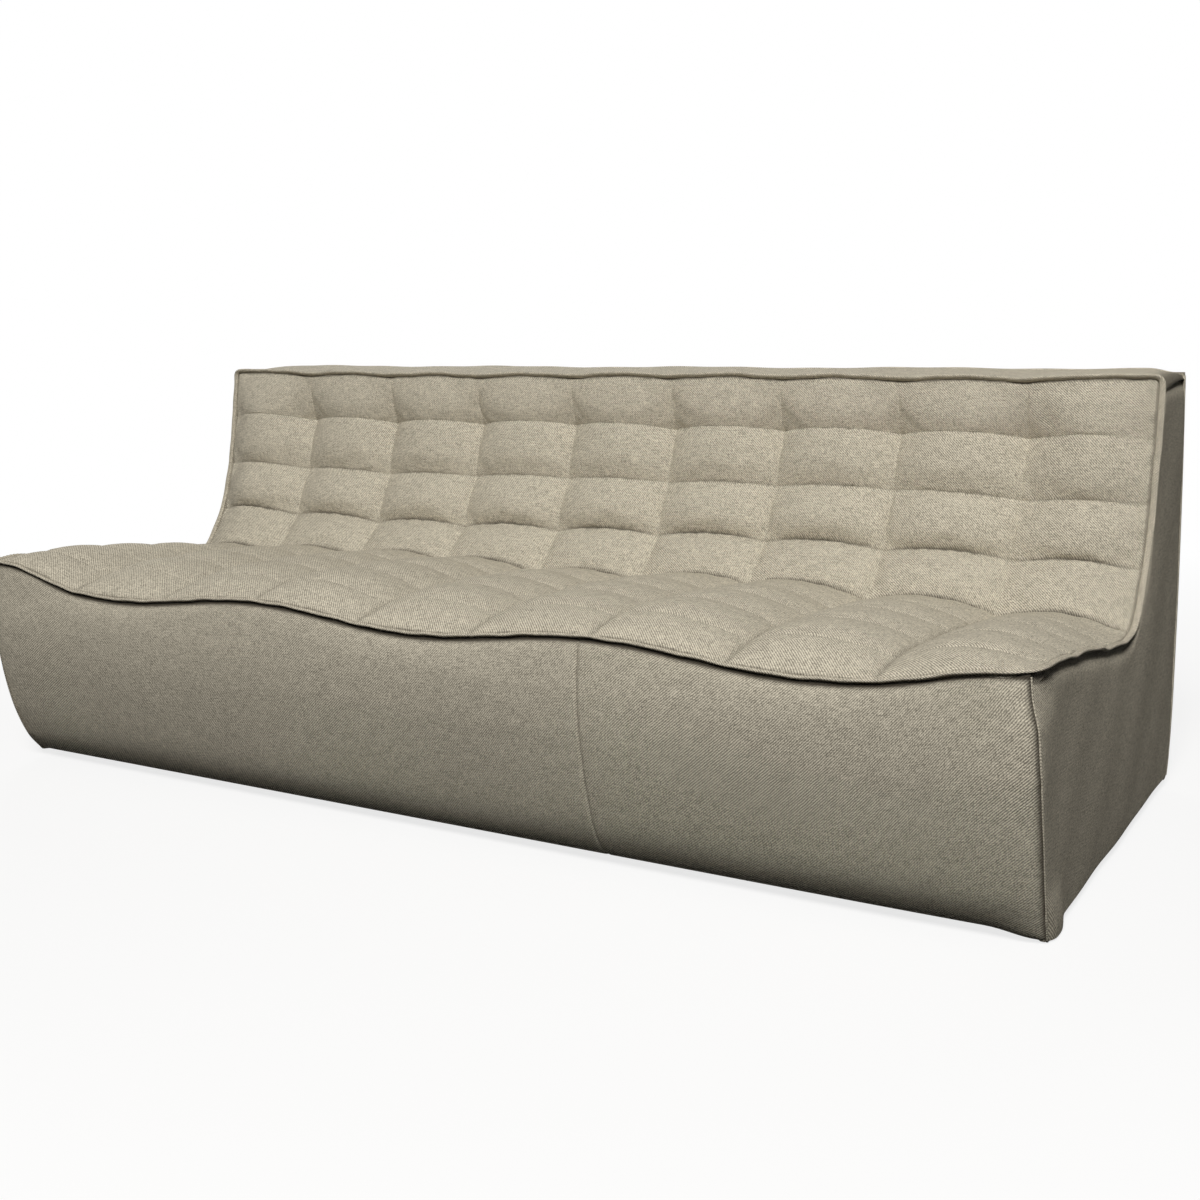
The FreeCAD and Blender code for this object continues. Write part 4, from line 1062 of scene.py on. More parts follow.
@dataclass
class FrontCover(Piece):
    """The front panel in two lengths, sewn together off the middle and turned under the base."""

    cloth: Paint
    seam: float = 0.333
    section: tuple = ((-0.4580, 0.325), (-0.4590, 0.290), (-0.4565, 0.245), (-0.4510, 0.205), (-0.4435, 0.163),
                      (-0.4340, 0.120), (-0.4225, 0.080), (-0.4075, 0.048), (-0.3890, 0.0235), (-0.3720, 0.0135),
                      (-0.3520, 0.0140), (-0.3310, 0.0150))
    head: tuple = ((0.0006, 0.004), (0.0092, 0.019))
    down: int = 84
    step: float = 0.012
    beside: float = 0.012
    fine_lines: int = 9
    fine_curve: float = 1.5
    crowd: float = 0.06
    corner_round: float = 0.040
    corner_reach: float = 0.12
    corner_bend: float = 0.98
    draw_share: float = 0.35
    draw_curve: int = 3
    thickness: float = 0.0025
    seam_tuck: tuple = (0.0030, 0.0035)
    seam_shade: tuple = (0.35, 0.0014)
    lip_shade: tuple = (1.8, 0.0070)
    lip_shade_most: float = 0.96
    end_shade: tuple = (0.9, 0.0045)
    lobe: float = 0.0080
    lobe_x: tuple = (0.96, 0.075)
    lobe_z: tuple = (0.06, -0.05)
    cloth_top: float = 0.4
    slack: tuple = ((0.0007, 0.4, 5.3, 9), (0.00042, 1.9, 11.7, -14), (0.00028, 0.0, 23, 6))
    slack_low: tuple = (0.03, 0.05)
    slack_high: tuple = (0.36, -0.05)
    pad_lines: int = 90
    pad_rows: tuple = (8, 64, 2)
    pad_half: float = 1.030
    pad_levels: tuple = (0.0175, 0.3483)
    pad_inset: float = 0.0042
    pad_back: float = -0.3446

    def surface(self, x: Array) -> tuple[Array, Array, Array]:
        """One length of the panel: a section carried along x, drawn back to the corner seams at its ends.

        Args:
            x: The panel's upright lines.

        Returns:
            Points, cloth coordinates and painted shade.
        """
        edge = LAYOUT.front_edge(x) + LAYOUT.flare(x, LAYOUT.front)
        head = [np.stack([np.full_like(x, LAYOUT.front - out), edge - drop], 1) for out, drop in self.head]
        body = np.repeat(np.array(self.section)[None], len(x), 0)
        knots = np.concatenate([np.stack(head, axis=1), body], axis=1)
        at = np.linspace(0, knots.shape[1] - 1, self.down)
        plane = through(np.moveaxis(knots, 1, 0).reshape(knots.shape[1], -1), at)
        plane = plane.reshape(self.down, len(x), 2).swapaxes(0, 1)
        y, z = plane[..., 0], plane[..., 1]
        ends = [LAYOUT.front_corner(side)[::-1] for side in Side]
        shift, drawn = (np.where(x[:, None] < 0, *(np.interp(z, line[:, 2], line[:, k]) for line in ends))
                        for k in (0, 1))
        off_end = (LAYOUT.half_width - np.abs(x))[:, None]
        turn = np.clip(1 - off_end / self.corner_round, 0, 1)
        bent = (1 - np.sqrt(1 - self.corner_bend * turn**2)) / (1 - math.sqrt(1 - self.corner_bend))
        draw = self.draw_share * LAYOUT.drawn(x) ** self.draw_curve + (1 - self.draw_share) * bent
        y = y + draw * np.maximum(drawn + self.thickness - y, 0)
        wide = x[:, None] + np.sign(x)[:, None] * shift * ease(1 - off_end / self.corner_reach)
        seam = np.abs(x - self.seam)[:, None]
        y = y + press(seam, *self.seam_tuck) + self.ripple(x[:, None], z)
        z = z - self.lobe * fade(x, *self.lobe_x)[:, None] * fade(z, *self.lobe_z)
        points = np.stack([wide, y, z], axis=-1)
        run = cloth_run(points)
        cloth = joined(x[:, None], self.cloth_top - run)
        # Painted shade: a dark band under the lip, a thin one along the seam, another at the ends.
        lip = np.minimum(press(run, *self.lip_shade), self.lip_shade_most)
        crease = np.maximum(lip, press(seam, *self.seam_shade))
        return points, cloth, np.maximum(crease, press(off_end, *self.end_shade))

    def ripple(self, x: Array, z: Array) -> Array:
        """Slack of the cloth: a few long waves, under two millimetres, that fade at the hem and the lip."""
        return waves(self.slack, x, z) * fade(z, *self.slack_low) * fade(z, *self.slack_high)

    def lines(self, start: float, end: float) -> Array:
        """Upright lines between two seams, finer beside them."""
        count = int((end - start) / self.step)
        t = np.linspace(0, 1, count)
        fine = self.beside * np.linspace(0, 1, self.fine_lines) ** self.fine_curve
        t = t - self.crowd * np.sin(2 * TURN * t) / TURN
        middle = start + self.beside + t * (end - start - 2 * self.beside)
        return np.r_[start + fine[:-1], middle, (end - fine[:-1])[::-1]]

    def padding(self) -> tuple[Array, Array]:
        """The pad's face just inside the panel, and its flat back at the rail."""
        points, _, _ = self.surface(np.linspace(-LAYOUT.half_width, LAYOUT.half_width, self.pad_lines))
        face = points[:, slice(*self.pad_rows)] + np.array([0, self.pad_inset, 0])
        face[..., 0] = face[..., 0].clip(-self.pad_half, self.pad_half)
        face[..., 2] = face[..., 2].clip(*self.pad_levels)
        back = face.copy()
        back[..., 1] = self.pad_back
        return face, back

    def build(self) -> None:
        """Both lengths as stretched sheets."""
        spans = {"left": (-LAYOUT.half_width, self.seam), "right": (self.seam, LAYOUT.half_width)}
        for word, (start, end) in spans.items():
            surface = self.surface(self.lines(start, end))
            made = self.panel(f"front_panel_{word}", surface, (0, -1, 0), "upholstery", f"front_cover_{word}")


@dataclass
class EndCover(Piece):
    """An end panel from the lip down to its hem, with its two corner seams."""

    cloth: Paint
    side: Side
    across: int = 110
    tall: int = 76
    thickness: float = 0.0025
    turn: float = 0.006
    inner: float = 0.986
    bead: float = 0.0024
    bead_wide: float = 1.15
    bead_set: float = 0.0008
    bead_axis: tuple = (0.55, 0.83)
    fold_set: float = 0.0048
    puff: float = 0.0045
    puff_curve: float = 0.6
    lip_points: int = 160
    lip_set: tuple = (0.003, -0.004)
    lip_tuck: float = 0.0085
    roof_tuck: float = 0.002
    lip_tuck_width: float = 0.0145
    lip_shade: tuple = (0.97, 0.0105)
    seam_tuck: tuple = (0.0035, 0.005)
    seam_shade: tuple = (0.5, 0.003)
    hem_shade: float = 0.4
    hem_line: tuple = (-0.331, 0.396)
    slack: tuple = ((0.0009, 0.0, 17, 11), (0.00054, 1.0, 31, -19))
    slack_off: float = 0.03
    shift_reach: float = 0.055
    roof_span: tuple = (0.845, 0.03)
    bulge_u: tuple = (0.12, -0.06)
    bulge_z: tuple = (0.10, -0.08)
    bulge_share: float = 0.9
    bulge_off: float = 0.014
    sink_u: tuple = (0.11, -0.06)
    sink_z: tuple = (0.07, -0.06)
    hem_share: float = 0.75
    hem_steps: tuple = (7, 5)
    seam_points: int = 120
    roof: tuple = ((0.2755, 0.7400), (0.290, 0.7425), (0.330, 0.7405), (0.400, 0.7405), (0.428, 0.7420))
    lobe: dict = field(default_factory=lambda: {Side.LEFT: 0.0010, Side.RIGHT: 0.0090})

    def patch(self) -> tuple[Array, Array, Array]:
        """A Coons patch between hem, lip line and the two corner seams, puffed a little and tucked at its edges.

        Near the foot of the front seam it bulges and sinks by the lobe.

        Returns:
            Points, cloth coordinates and painted shade.
        """
        u, v = np.linspace(0, 1, self.across), 0.5 - 0.5 * np.cos(np.linspace(0, math.pi, self.tall))
        lip = through(LAYOUT.edge, np.linspace(len(LAYOUT.edge) - 1, 0, self.lip_points)) + np.array(self.lip_set)
        lip[:, 0] = np.maximum(lip[:, 0], LAYOUT.front_corner(self.side)[0, 1])
        line = np.vstack([lip[:-2], self.roof])
        top = even(np.column_stack([line, np.zeros(len(line))]), self.across)[:, :2]
        front = LAYOUT.front_corner(self.side)[::-1]
        shift, front = front[:, 0], front[:, 1:]
        rear = np.array(LAYOUT.rear_corner)[::-1]
        front_z = front[0, 1] + v * (top[0, 1] - front[0, 1])
        rear_z = rear[0, 1] + v * (top[-1, 1] - rear[0, 1])
        left = np.stack([np.interp(front_z, front[:, 1], front[:, 0]), front_z], 1)
        right = np.stack([np.interp(rear_z, rear[:, 1], rear[:, 0]), rear_z], 1)
        left[-1], right[-1] = top[0], top[-1]
        base = left[0] + u[:, None] * (right[0] - left[0])
        a, b = u[:, None, None], v[None, :, None]
        patch = ((1 - b) * base[:, None] + b * top[:, None] + (1 - a) * left[None] + a * right[None]
                 - (1 - a) * ((1 - b) * left[0] + b * left[-1]) - a * ((1 - b) * right[0] + b * right[-1]))
        y, z = patch[..., 0], patch[..., 1]
        below = np.linalg.norm(patch - top[:, None], axis=2)
        ahead = np.linalg.norm(patch - left[None], axis=2)
        beside = np.minimum(ahead, np.linalg.norm(patch - right[None], axis=2))
        roofed = fade(np.arange(self.across)[:, None] / self.across, *self.roof_span)
        round_u, round_v = (np.sin(math.pi * share[..., 0]) ** self.puff_curve for share in (a, b))
        x = LAYOUT.half_width + self.puff * round_u * round_v
        x = x - press(below, self.lip_tuck + self.roof_tuck * roofed, self.lip_tuck_width)
        x = x - press(beside, *self.seam_tuck)
        x = x + waves(self.slack, y, z) * (1 - dent(below, self.slack_off))
        x = x + np.interp(front_z, front[:, 1], shift)[None, :] * dent(ahead, self.shift_reach)
        bulge = fade(a[..., 0], *self.bulge_u) * fade(z, *self.bulge_z)
        x = x + self.bulge_share * self.lobe[self.side] * bulge * (1 - dent(ahead, self.bulge_off))
        # Painted shade under the lip and beside the corner seams; the hem below gets an even painted shade.
        crease = np.maximum(press(below, *self.lip_shade), press(beside, *self.seam_shade))
        points, flat = np.stack([x, y, z], axis=-1), np.stack([-y, z], axis=-1)
        hem = self.hem(points[:, :1], u)
        points[..., 2] -= self.sunk(u) * fade(z, *self.sink_z)
        points = np.concatenate([hem[:, ::-1], points], axis=1)
        flat = np.concatenate([np.repeat(flat[:, :1], hem.shape[1], 1), flat], axis=1)
        crease = np.concatenate([np.full(hem.shape[:2], self.hem_shade), crease], axis=1)
        points[..., 0] *= self.side.value
        flat[..., 0] *= self.side.value
        return points, flat, crease

    def sunk(self, u: Array) -> Array:
        """How far the bottom edge sinks by the lobe beside the front seam."""
        return self.lobe[self.side] * fade(u, *self.sink_u)[:, None]

    def hem(self, edge: Array, u: Array) -> Array:
        """The turned hem: a quarter round under the bottom edge, then flat to its inner line."""
        a, run = (np.linspace(0, end, count)[1:] for end, count in zip((math.pi / 2, 1), self.hem_steps))
        low = edge[..., 2] - self.sunk(u)
        x = edge[..., 0] - self.turn * (1 - np.cos(a))
        z = low - (low - LAYOUT.hem + self.hem_share * self.sunk(u)).clip(0) * np.sin(a)
        flat_x = x[:, -1:] + run * (self.inner - x[:, -1:])
        flat_z = z[:, -1:] + run * (LAYOUT.hem - z[:, -1:])
        y = np.broadcast_to(edge[..., 1], (len(u), len(a) + len(run)))
        inset = np.r_[np.zeros(len(a)), run][None]
        y = y + inset * (np.clip(y, *self.hem_line) - y)
        return np.stack([np.hstack([x, flat_x]), y, np.hstack([z, flat_z])], axis=-1)

    def corner_seam(self, word: str, knots: Sequence) -> None:
        """A narrow rolled seam down one corner: a small oval carried along the corner's line."""
        path = through(np.array(knots), np.linspace(0, len(knots) - 1, self.seam_points))
        sign, lean = self.side.value, 1 if word == "rear" else -1
        path[:, 0] = sign * (path[:, 0] + LAYOUT.half_width - self.bead_set)
        path[:, 1] -= lean * self.fold_set
        path[:, 2] -= self.lobe[self.side] * fade(path[:, 2], *self.sink_z) * (lean < 0)
        ahead = unit(np.gradient(path, axis=0))
        aside, ahead_share = self.bead_axis
        out = np.tile(unit(np.array([aside * sign, ahead_share * lean, 0.0])), (len(path), 1))
        out = unit(out - (out * ahead).sum(1, keepdims=True) * ahead)
        name, bead = f"corner_seam_{word}_{self.side.name.lower()}", oval(self.bead * self.bead_wide, self.bead)
        made = tube(name, path, out, np.cross(ahead, out), bead, False)
        self.keep(made, self.cloth, "upholstery")

    def build(self) -> None:
        """The panel as a stretched sheet, and its corner seams."""
        word = self.side.name.lower()
        facing = (self.side.value, 0, 0)
        made = self.panel(f"end_panel_{word}", self.patch(), facing, "upholstery", f"end_cover_{word}")
        self.corner_seam("front", LAYOUT.front_corner(self.side))
        self.corner_seam("rear", [(0.0, *knot) for knot in LAYOUT.rear_corner])


@dataclass
class BackCover(Piece):
    """The rear panel and the narrow band along the top, sewn together by a rolled seam."""

    cloth: Paint
    section: tuple = ((0.4275, 0.7480), (0.4330, 0.715), (0.4420, 0.620), (0.4500, 0.490), (0.4545, 0.360),
                      (0.4550, 0.240), (0.4490, 0.130), (0.4370, 0.065), (0.4210, 0.026), (0.4080, 0.0160),
                      (0.3965, 0.0150))
    band: tuple = (0.2748, 0.4290)
    lines: int = 181
    down: int = 90
    thickness: float = 0.0025
    slack: tuple = ((0.0011, 0.0, 4.1, 8), (0.00066, 2.2, 9.3, -13))
    slack_low: tuple = (0.05, 0.08)
    slack_high: tuple = (0.74, -0.08)
    foot_span: tuple = (0.014, 0.03)
    draw_curve: int = 5
    cloth_top: float = 0.75
    shade: float = 0.6
    shade_widths: tuple = (0.004, 0.0035)
    band_lines: int = 34
    crown: float = 0.0035
    crown_curve: float = 0.7
    rear_drop: tuple = (0.003, 8)
    dip_depth: float = 0.008
    dip_span: tuple = (0.985, 0.055)
    end_tuck: tuple = (0.010, 0.0045)
    end_shade: float = 0.8
    end_span: tuple = (1.0, 0.04)
    band_shade: tuple = (0.45, 0.003)
    band_slack: tuple = ((0.0016, 0.5, 13),)
    seam_slack: tuple = ((0.0012, 0.5, 13), (0.0006, 0.0, 41))
    seam_axes: tuple = (0.0036, 0.0026)
    seam_turn: tuple = ((0.0, 0.64, 0.77), (0.0, -0.77, 0.64))
    seam_set: tuple = (0.002, 0.0004, -0.0002)
    seam_points: int = 260
    pad_rows: tuple = (4, 74, 2)
    pad_step: int = 3
    pad_inset: float = 0.0040
    pad_share: float = 0.994
    pad_levels: tuple = (0.0175, 0.7440)
    pad_back: float = 0.4143

    def rear(self) -> tuple[Array, Array, Array]:
        """The rear panel: a section carried along x and drawn in at the corners, with long slack waves."""
        x = LAYOUT.half_width * np.sin(np.linspace(-1, 1, self.lines) * math.pi / 2)
        y, z = through(self.section, np.linspace(0, len(self.section) - 1, self.down)).T[:, None]
        seam = np.array(LAYOUT.rear_corner)[::-1]
        drawn = np.interp(z, seam[:, 1], seam[:, 0]) - self.thickness
        y = y + LAYOUT.drawn(x) ** self.draw_curve * np.minimum(drawn - y, 0) * fade(z, *self.foot_span)
        y = y + waves(self.slack, x[:, None], z) * fade(z, *self.slack_low) * fade(z, *self.slack_high)
        points = joined(x[:, None], y, z)
        run = cloth_run(points)
        cloth = joined(-x[:, None], self.cloth_top - run)
        off_end = (LAYOUT.half_width - np.abs(x))[:, None]
        by_seam, by_end = self.shade_widths
        # Painted shade along the top seam and at the ends.
        return points, cloth, self.shade * np.maximum(dent(run, by_seam), dent(off_end, by_end))

    def roof(self) -> tuple[Array, Array, Array]:
        """The top band: slightly crowned between its seams, waved by the columns and rounded at its ends."""
        x = np.linspace(-LAYOUT.half_width, LAYOUT.half_width, 2 * self.lines - 1)
        t = 0.5 - 0.5 * np.cos(np.linspace(0, math.pi, self.band_lines))
        front, rear = self.band
        y = front + (rear - front) * t[None, :]
        wave = LAYOUT.top_edge(x)[:, None] - LAYOUT.top
        z = LAYOUT.top + self.thickness + wave * (1 - t) + self.crown * mound(t) ** self.crown_curve
        depth, curve = self.rear_drop
        z = z + waves(self.band_slack, x)[:, None] * t - depth * t**curve
        z = z - press(LAYOUT.half_width - np.abs(x), *self.end_tuck)[:, None] - self.dip(x)[:, None]
        points = joined(x[:, None], y, z)
        cloth = joined(x[:, None], y)
        # Painted shade along the rear seam and at the tucked ends.
        crease = np.maximum(press((1 - t) * (rear - front), *self.band_shade)[None, :],
                            self.end_shade * fade(np.abs(x), *self.end_span)[:, None])
        return points, cloth, crease

    def dip(self, x: Array) -> Array:
        """How far the band sinks at its tucked ends."""
        return self.dip_depth * fade(np.abs(x), *self.dip_span)

    def padding(self) -> tuple[Array, Array]:
        """The rear pad's face just inside the panel, and its flat back at the board."""
        points, _, _ = self.rear()
        face = points[::self.pad_step, slice(*self.pad_rows)] - np.array([0, self.pad_inset, 0])
        face[..., 0] *= self.pad_share
        face[..., 2] = face[..., 2].clip(*self.pad_levels)
        back = face.copy()
        back[..., 1] = self.pad_back
        return face, back

    def rolled_seam(self) -> Thing:
        """The seam along the rear top edge: a small oval carried along a gently waved line."""
        inset, back, rise = self.seam_set
        x = np.linspace(-LAYOUT.half_width + inset, LAYOUT.half_width - inset, self.seam_points)
        z = LAYOUT.top + rise + waves(self.seam_slack, x) - self.dip(x)
        path = np.stack([x, np.full_like(x, self.band[1] + back), z], axis=1)
        out, up = (np.tile(axis, (len(x), 1)) for axis in self.seam_turn)
        return tube("rear_seam", path, out, up, oval(*self.seam_axes), False)

    def build(self) -> None:
        """The rear panel and the band as stretched sheets, and the seam between them."""
        rear = self.panel("rear_panel", self.rear(), (0, 1, 0), "upholstery", "rear_cover")
        roof = self.panel("top_panel", self.roof(), (0, 0, 1), "upholstery", "top_band")
        self.keep(self.rolled_seam(), self.cloth, "upholstery")


@dataclass
class Underside(Piece):
    """The dust cloth under the base and the staples round it."""

    cloth: Paint
    steel: Paint
    half: float = 0.9845
    front: float = -0.3295
    rear: float = 0.3945
    level: float = 0.0161
    lines: tuple = (121, 45)
    sag: float = 0.0045
    bay: float = 0.656
    pitch: float = 0.046
    inset: float = 0.011
    edge_points: int = 4000
    wire: float = 0.00045
    crown: float = 0.0050
    legs: tuple = (-0.0004, 0.0012)
    thickness: float = 0.0008

    def sheet(self) -> tuple[Array, Array, Array]:
        """The cloth hangs a little in three bays: sag times sin^2 across each bay and sin^2 front to rear."""
        spans = (-self.half, self.half), (self.front, self.rear)
        x, y = (np.linspace(*span, count) for span, count in zip(spans, self.lines))
        bays = np.sin(math.pi * (x + self.half) / self.bay) ** 2
        deep = np.sin(math.pi * (y - self.front) / (self.rear - self.front)) ** 2
        z = self.level - self.sag * bays[:, None] * deep[None, :]
        points = joined(x[:, None], y[None, :], z)
        return points, points[..., :2].copy(), np.zeros(z.shape)

    def staples(self) -> Thing:
        """Staples round the cloth's edge: a flat crown with two short legs, one shape set at even steps."""
        x0, y0, y1 = self.half - self.inset, self.front + self.inset, self.rear - self.inset
        corners = np.array([(-x0, y0, 0), (x0, y0, 0), (x0, y1, 0), (-x0, y1, 0)])
        dense = even(corners, self.edge_points, closed=True)
        count = int(2 * (2 * x0 + y1 - y0) / self.pitch)
        place = even(dense, count, closed=True)
        ahead = unit(np.roll(place, -1, 0) - np.roll(place, 1, 0))
        beside = np.column_stack([-ahead[:, 1], ahead[:, 0], ahead[:, 2]])
        low, high = self.legs
        line = np.array([(-self.crown, high), (-self.crown, low), (self.crown, low), (self.crown, high)])
        square = np.array([(-1, -1), (1, -1), (1, 1), (-1, 1)]) * self.wire
        out = np.array([(1, 0), (1, -1), (-1, -1), (-1, 0)])
        along, up = (line[:, None, k] - out[:, None, k] * square[None, :, 1] for k in (0, 1))
        aside = np.broadcast_to(square[None, :, 0], along.shape)
        rise = np.array([0.0, 0.0, 1.0])
        points = (place[:, None, None] + along[None, ..., None] * ahead[:, None, None]
                  + aside[None, ..., None] * beside[:, None, None] + (up + self.level)[None, ..., None] * rise)
        return many_tubes("staples", points)

    def build(self) -> None:
        """The cloth as a stretched sheet, and the staples."""
        made = self.panel("underside_cloth", self.sheet(), (0, 0, -1), "dust_cloth", "dust_cover")
        self.keep(self.staples(), self.steel, "zinc_steel")


@dataclass
class Filling(Piece):
    """Foam blocks, pads and straps inside: welded copies of their solids with softened edges.

    The front and rear pads follow their panels instead.
    """

    foam: Paint
    strap: Paint
    front: FrontCover
    back: BackCover
    pads: tuple = (("seat_block", "seat_foam"), ("back_block", "back_foam"), ("end_padding", "end_pad"))
    most: tuple = (1.0280, 1.0, 0.7430)
    foam_round: float = 0.004
    strap_round: float = 0.0004
    round_steps: int = 3
    weld: float = 1e-5
    flat_degrees: float = 0.5
    edge_degrees: float = 25.0
    straps: tuple = (("seat_webbing", "seat_straps"), ("length_webbing", "lengthwise_straps"),
                     ("back_webbing", "back_straps"))

    def soften(self, name: str, node: str, round_: float) -> Thing:
        """A welded copy of a node's mesh with its edges rounded.

        Args:
            name: The new piece's name.
            node: The node it stands for.
            round_: How far the rounding reaches.

        Returns:
            The piece.
        """
        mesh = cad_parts[node].data.copy()
        mesh.name = name
        work = bmesh.new()
        work.from_mesh(mesh)
        bmesh.ops.remove_doubles(work, verts=work.verts, dist=self.weld)
        flat = math.radians(self.flat_degrees)
        bmesh.ops.dissolve_limit(work, angle_limit=flat, verts=work.verts, edges=work.edges)
        work.to_mesh(mesh)
        work.free()
        spots = np.zeros(len(mesh.vertices) * 3, np.float32)
        mesh.vertices.foreach_get("co", spots)
        spots = np.clip(spots.reshape(-1, 3), -np.array(self.most), np.array(self.most))
        mesh.vertices.foreach_set("co", spots.astype(np.float32).ravel())
        made = bpy.data.objects.new(name, mesh)
        bpy.context.scene.collection.objects.link(made)
        bevel = made.modifiers.new("soft_edges", "BEVEL")
        bevel.width, bevel.segments, bevel.limit_method = round_, self.round_steps, "ANGLE"
        bevel.angle_limit, bevel.use_clamp_overlap = math.radians(self.edge_degrees), True
        mesh.polygons.foreach_set("use_smooth", np.zeros(len(mesh.polygons), bool))
        return made

    def build(self) -> None:
        """Every block and pad in foam, and the straps."""
        places = [(f"{name}_{word}", f"{node}_{word}") for name, node in self.pads
                  for word in ("left", "middle", "right") if f"{node}_{word}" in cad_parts]
        places.append(("top_padding", "top_pad"))
        blocks = [(self.soften(name, node, self.foam_round), node) for name, node in places]
        blocks += [(between("front_padding", *self.front.padding()), "front_pad"),
                   (between("rear_padding", *self.back.padding()), "rear_pad")]
        for made, node in blocks:
            self.keep(made, self.foam, "foam", node)
        for name, node in self.straps:
            self.keep(self.soften(name, node, self.strap_round), self.strap, "webbing", node)


@dataclass
class Skeleton(Piece):
    """The rigid parts, which keep their CAD shapes and get their materials."""

    pine: Timber = Timber("pine", (0.62, 0.42, 0.22), (0.40, 0.22, 0.09), 0.016)
    beech: Timber = Timber("beech", (0.56, 0.37, 0.21), (0.43, 0.26, 0.14), 0.006, 0.8)
    plywood: Board = Board("plywood", (0.50, 0.34, 0.18), (0.30, 0.18, 0.09), 0.0036, Grain.X)
    hardboard: Board = Board("hardboard", (0.13, 0.07, 0.032), (0.22, 0.13, 0.065), 0.0011, Grain.Y)

    def build(self, steel: Paint) -> None:
        """Gives each node that still shows a material chosen by its name, else pine grained along its longest side.

        Args:
            steel: The material of screws, bolts and nuts.
        """
        plastic, board, ply = MouldedPlastic().material(), self.hardboard.material(), self.plywood.material()
        known = {"foot_screws": steel, "rib_bolts": steel, "rib_nuts": steel, "foot_": plastic, "back_rib": ply,
                 "back_board": board}
        for name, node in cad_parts.items():
            if node.hide_render:
                continue
            chosen = next((paint for start, paint in known.items() if name.startswith(start)), None)
            if name == "frame_dowels":
                chosen = self.beech.material(Grain.Y)
            elif chosen is None:
                low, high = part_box(name)
                chosen = self.pine.material(Grain(int(np.argmax(np.array(high - low)))))
            node.data.materials.clear()
            node.data.materials.append(chosen)


# Studio

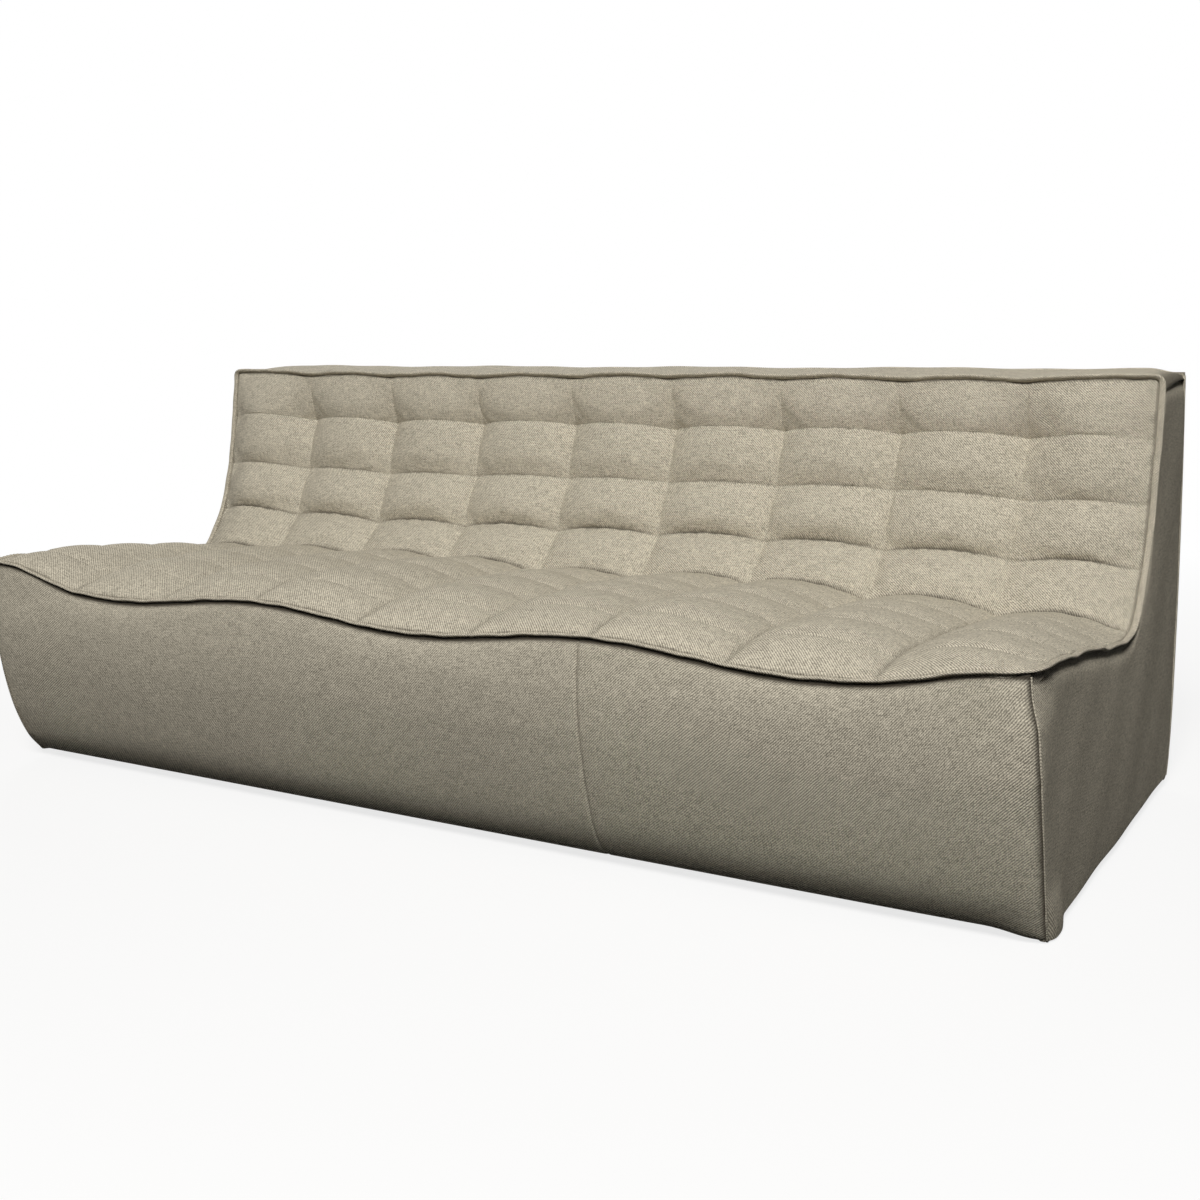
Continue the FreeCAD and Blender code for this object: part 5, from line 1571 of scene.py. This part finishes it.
@dataclass
class Studio:
    """Camera, lamps, world and floor."""

    eye: tuple = (1.59515, -2.43434, 0.94170)
    yaw: float = 0.550519
    pitch: float = 0.204618
    roll: float = -0.031277
    focal: float = 1558.366
    image: float = 1200.0
    sensor: float = 36.0
    key_power: float = 712.0
    key_place: tuple = (2.36, -5.20, 6.46)
    key_aim: tuple = (0.0, 0.0, 0.35)
    key_size: tuple = (2.6, 2.6)
    fill_power: float = 120.0
    fill_place: tuple = (-3.4, 4.3, 1.5)
    fill_size: tuple = (3.0, 2.0)
    tint: Colour = (1.0, 0.985, 0.955)
    ambient: float = 0.022
    floor_bounce: Colour = (0.008, 0.0078, 0.0072)
    floor_half: float = 30.0
    floor_lines: int = 9
    floor_level: float = -0.0005
    floor_shade: float = 0.22
    shade_reach: tuple = (1.3, 1.6)

    def camera(self) -> None:
        """The photograph's camera: turned by yaw, pitch and roll, with its focal length in pixels of the image."""
        yaw, pitch, roll = self.yaw, self.pitch, self.roll
        ahead = Vector((-math.sin(yaw) * math.cos(pitch), math.cos(yaw) * math.cos(pitch), -math.sin(pitch)))
        right = Vector((math.cos(yaw), math.sin(yaw), 0))
        up = right.cross(ahead)
        turned = right * math.cos(roll) + up * math.sin(roll)
        upright = up * math.cos(roll) - right * math.sin(roll)
        lens = bpy.data.cameras.new("camera")
        lens.sensor_width, lens.lens = self.sensor, self.focal / self.image * self.sensor
        lens.clip_start, lens.clip_end = 0.05, 200
        made = bpy.data.objects.new("camera", lens)
        axes = Matrix((turned, upright, -ahead)).transposed().to_4x4()
        made.matrix_world = Matrix.Translation(Vector(self.eye)) @ axes
        bpy.context.scene.collection.objects.link(made)
        bpy.context.scene.camera = made

    def lamp(self, name: str, power: float, place: Sequence, size: Sequence) -> None:
        """One soft box, turned to the sofa.

        Args:
            name: Its name.
            power: Its watts.
            place: Where it stands.
            size: Its width and height.
        """
        light = bpy.data.lights.new(name, "AREA")
        light.shape, light.energy = "RECTANGLE", power
        light.size, light.size_y = size
        light.color = self.tint
        made = bpy.data.objects.new(name, light)
        made.location = place
        made.rotation_mode = "QUATERNION"
        made.rotation_quaternion = (Vector(self.key_aim) - Vector(place)).to_track_quat("-Z", "Y")
        bpy.context.scene.collection.objects.link(made)

    @staticmethod
    def seen(book: Book) -> Value:
        """1 for what the camera sees, itself or in gloss and glass."""
        path = book.node("ShaderNodeLightPath", {}, {}, "Is Camera Ray")
        outputs = path.socket.node.outputs
        return path.most(Value(book, outputs["Is Glossy Ray"])).most(Value(book, outputs["Is Transmission Ray"]))

    def world(self) -> None:
        """White where it is seen, a low even light elsewhere."""
        world = bpy.data.worlds.new("studio")
        bpy.context.scene.world = world
        book = Book(world)
        strength = self.seen(book) * (1.0 - self.ambient) + self.ambient
        light = book.node("ShaderNodeBackground", {}, {"Color": (1.0, 1.0, 1.0, 1.0), "Strength": strength})
        book.node("ShaderNodeOutputWorld", {}, {"Surface": light})

    def floor(self) -> None:
        """A plain floor that is seen as white and keeps the shadow close to the sofa."""
        line = np.linspace(-self.floor_half, self.floor_half, self.floor_lines)
        points = joined(line[:, None], line[None, :], self.floor_level)
        faces, _, _ = grid_faces(len(line), len(line))
        made = new_piece("floor", points.reshape(-1, 3), faces, facing=(0, 0, 1))
        book = Book(bpy.data.materials.new("studio_floor"))
        reach = book.node("ShaderNodeVectorMath", {"operation": "LENGTH"}, {0: book.place()}, "Value")
        start, run = self.shade_reach
        near = (1.0 - (reach - start) / run).held() * self.floor_shade
        white = book.node("ShaderNodeEmission", {}, {"Color": (1.0, 1.0, 1.0, 1.0), "Strength": 1.0})
        pale = book.node("ShaderNodeBsdfDiffuse", {}, {"Color": (0.9, 0.9, 0.9, 1.0)})
        shown = book.node("ShaderNodeMixShader", {}, {0: near, 1: white, 2: pale})
        plain = book.node("ShaderNodeBsdfDiffuse", {}, {"Color": (*self.floor_bounce, 1.0)})
        mixed = book.node("ShaderNodeMixShader", {}, {0: self.seen(book), 1: plain, 2: shown})
        book.node("ShaderNodeOutputMaterial", {}, {"Surface": mixed})
        made.data.materials.append(book.owner)

    def build(self) -> None:
        """The whole studio, with the plain view transform."""
        self.camera()
        self.lamp("soft_box", self.key_power, self.key_place, self.key_size)
        self.lamp("rear_fill", self.fill_power, self.fill_place, self.fill_size)
        self.world()
        self.floor()
        bpy.context.scene.view_settings.view_transform = "Standard"


def write_sizes() -> None:
    """Updates the view layer."""
    bpy.context.view_layer.update()


def main() -> None:
    """Builds every piece in order."""
    logging.basicConfig(level=logging.INFO, format="%(name)s %(message)s")
    Studio().build()
    twill, thread, steel = TwillCloth().material(), Thread().material(), ZincSteel().material()
    front, back, quilt = FrontCover(twill), BackCover(twill), Quilt(twill)
    Filling(Foam().material(), Webbing().material(), front, back).build()
    quilt.build()
    EdgeLip(twill, thread, quilt).build()
    front.build()
    for side in Side:
        EndCover(twill, side).build()
    back.build()
    Underside(DustCloth().material(), steel).build()
    Skeleton().build(steel)
    write_sizes()


if __name__ == "__main__":
    main()
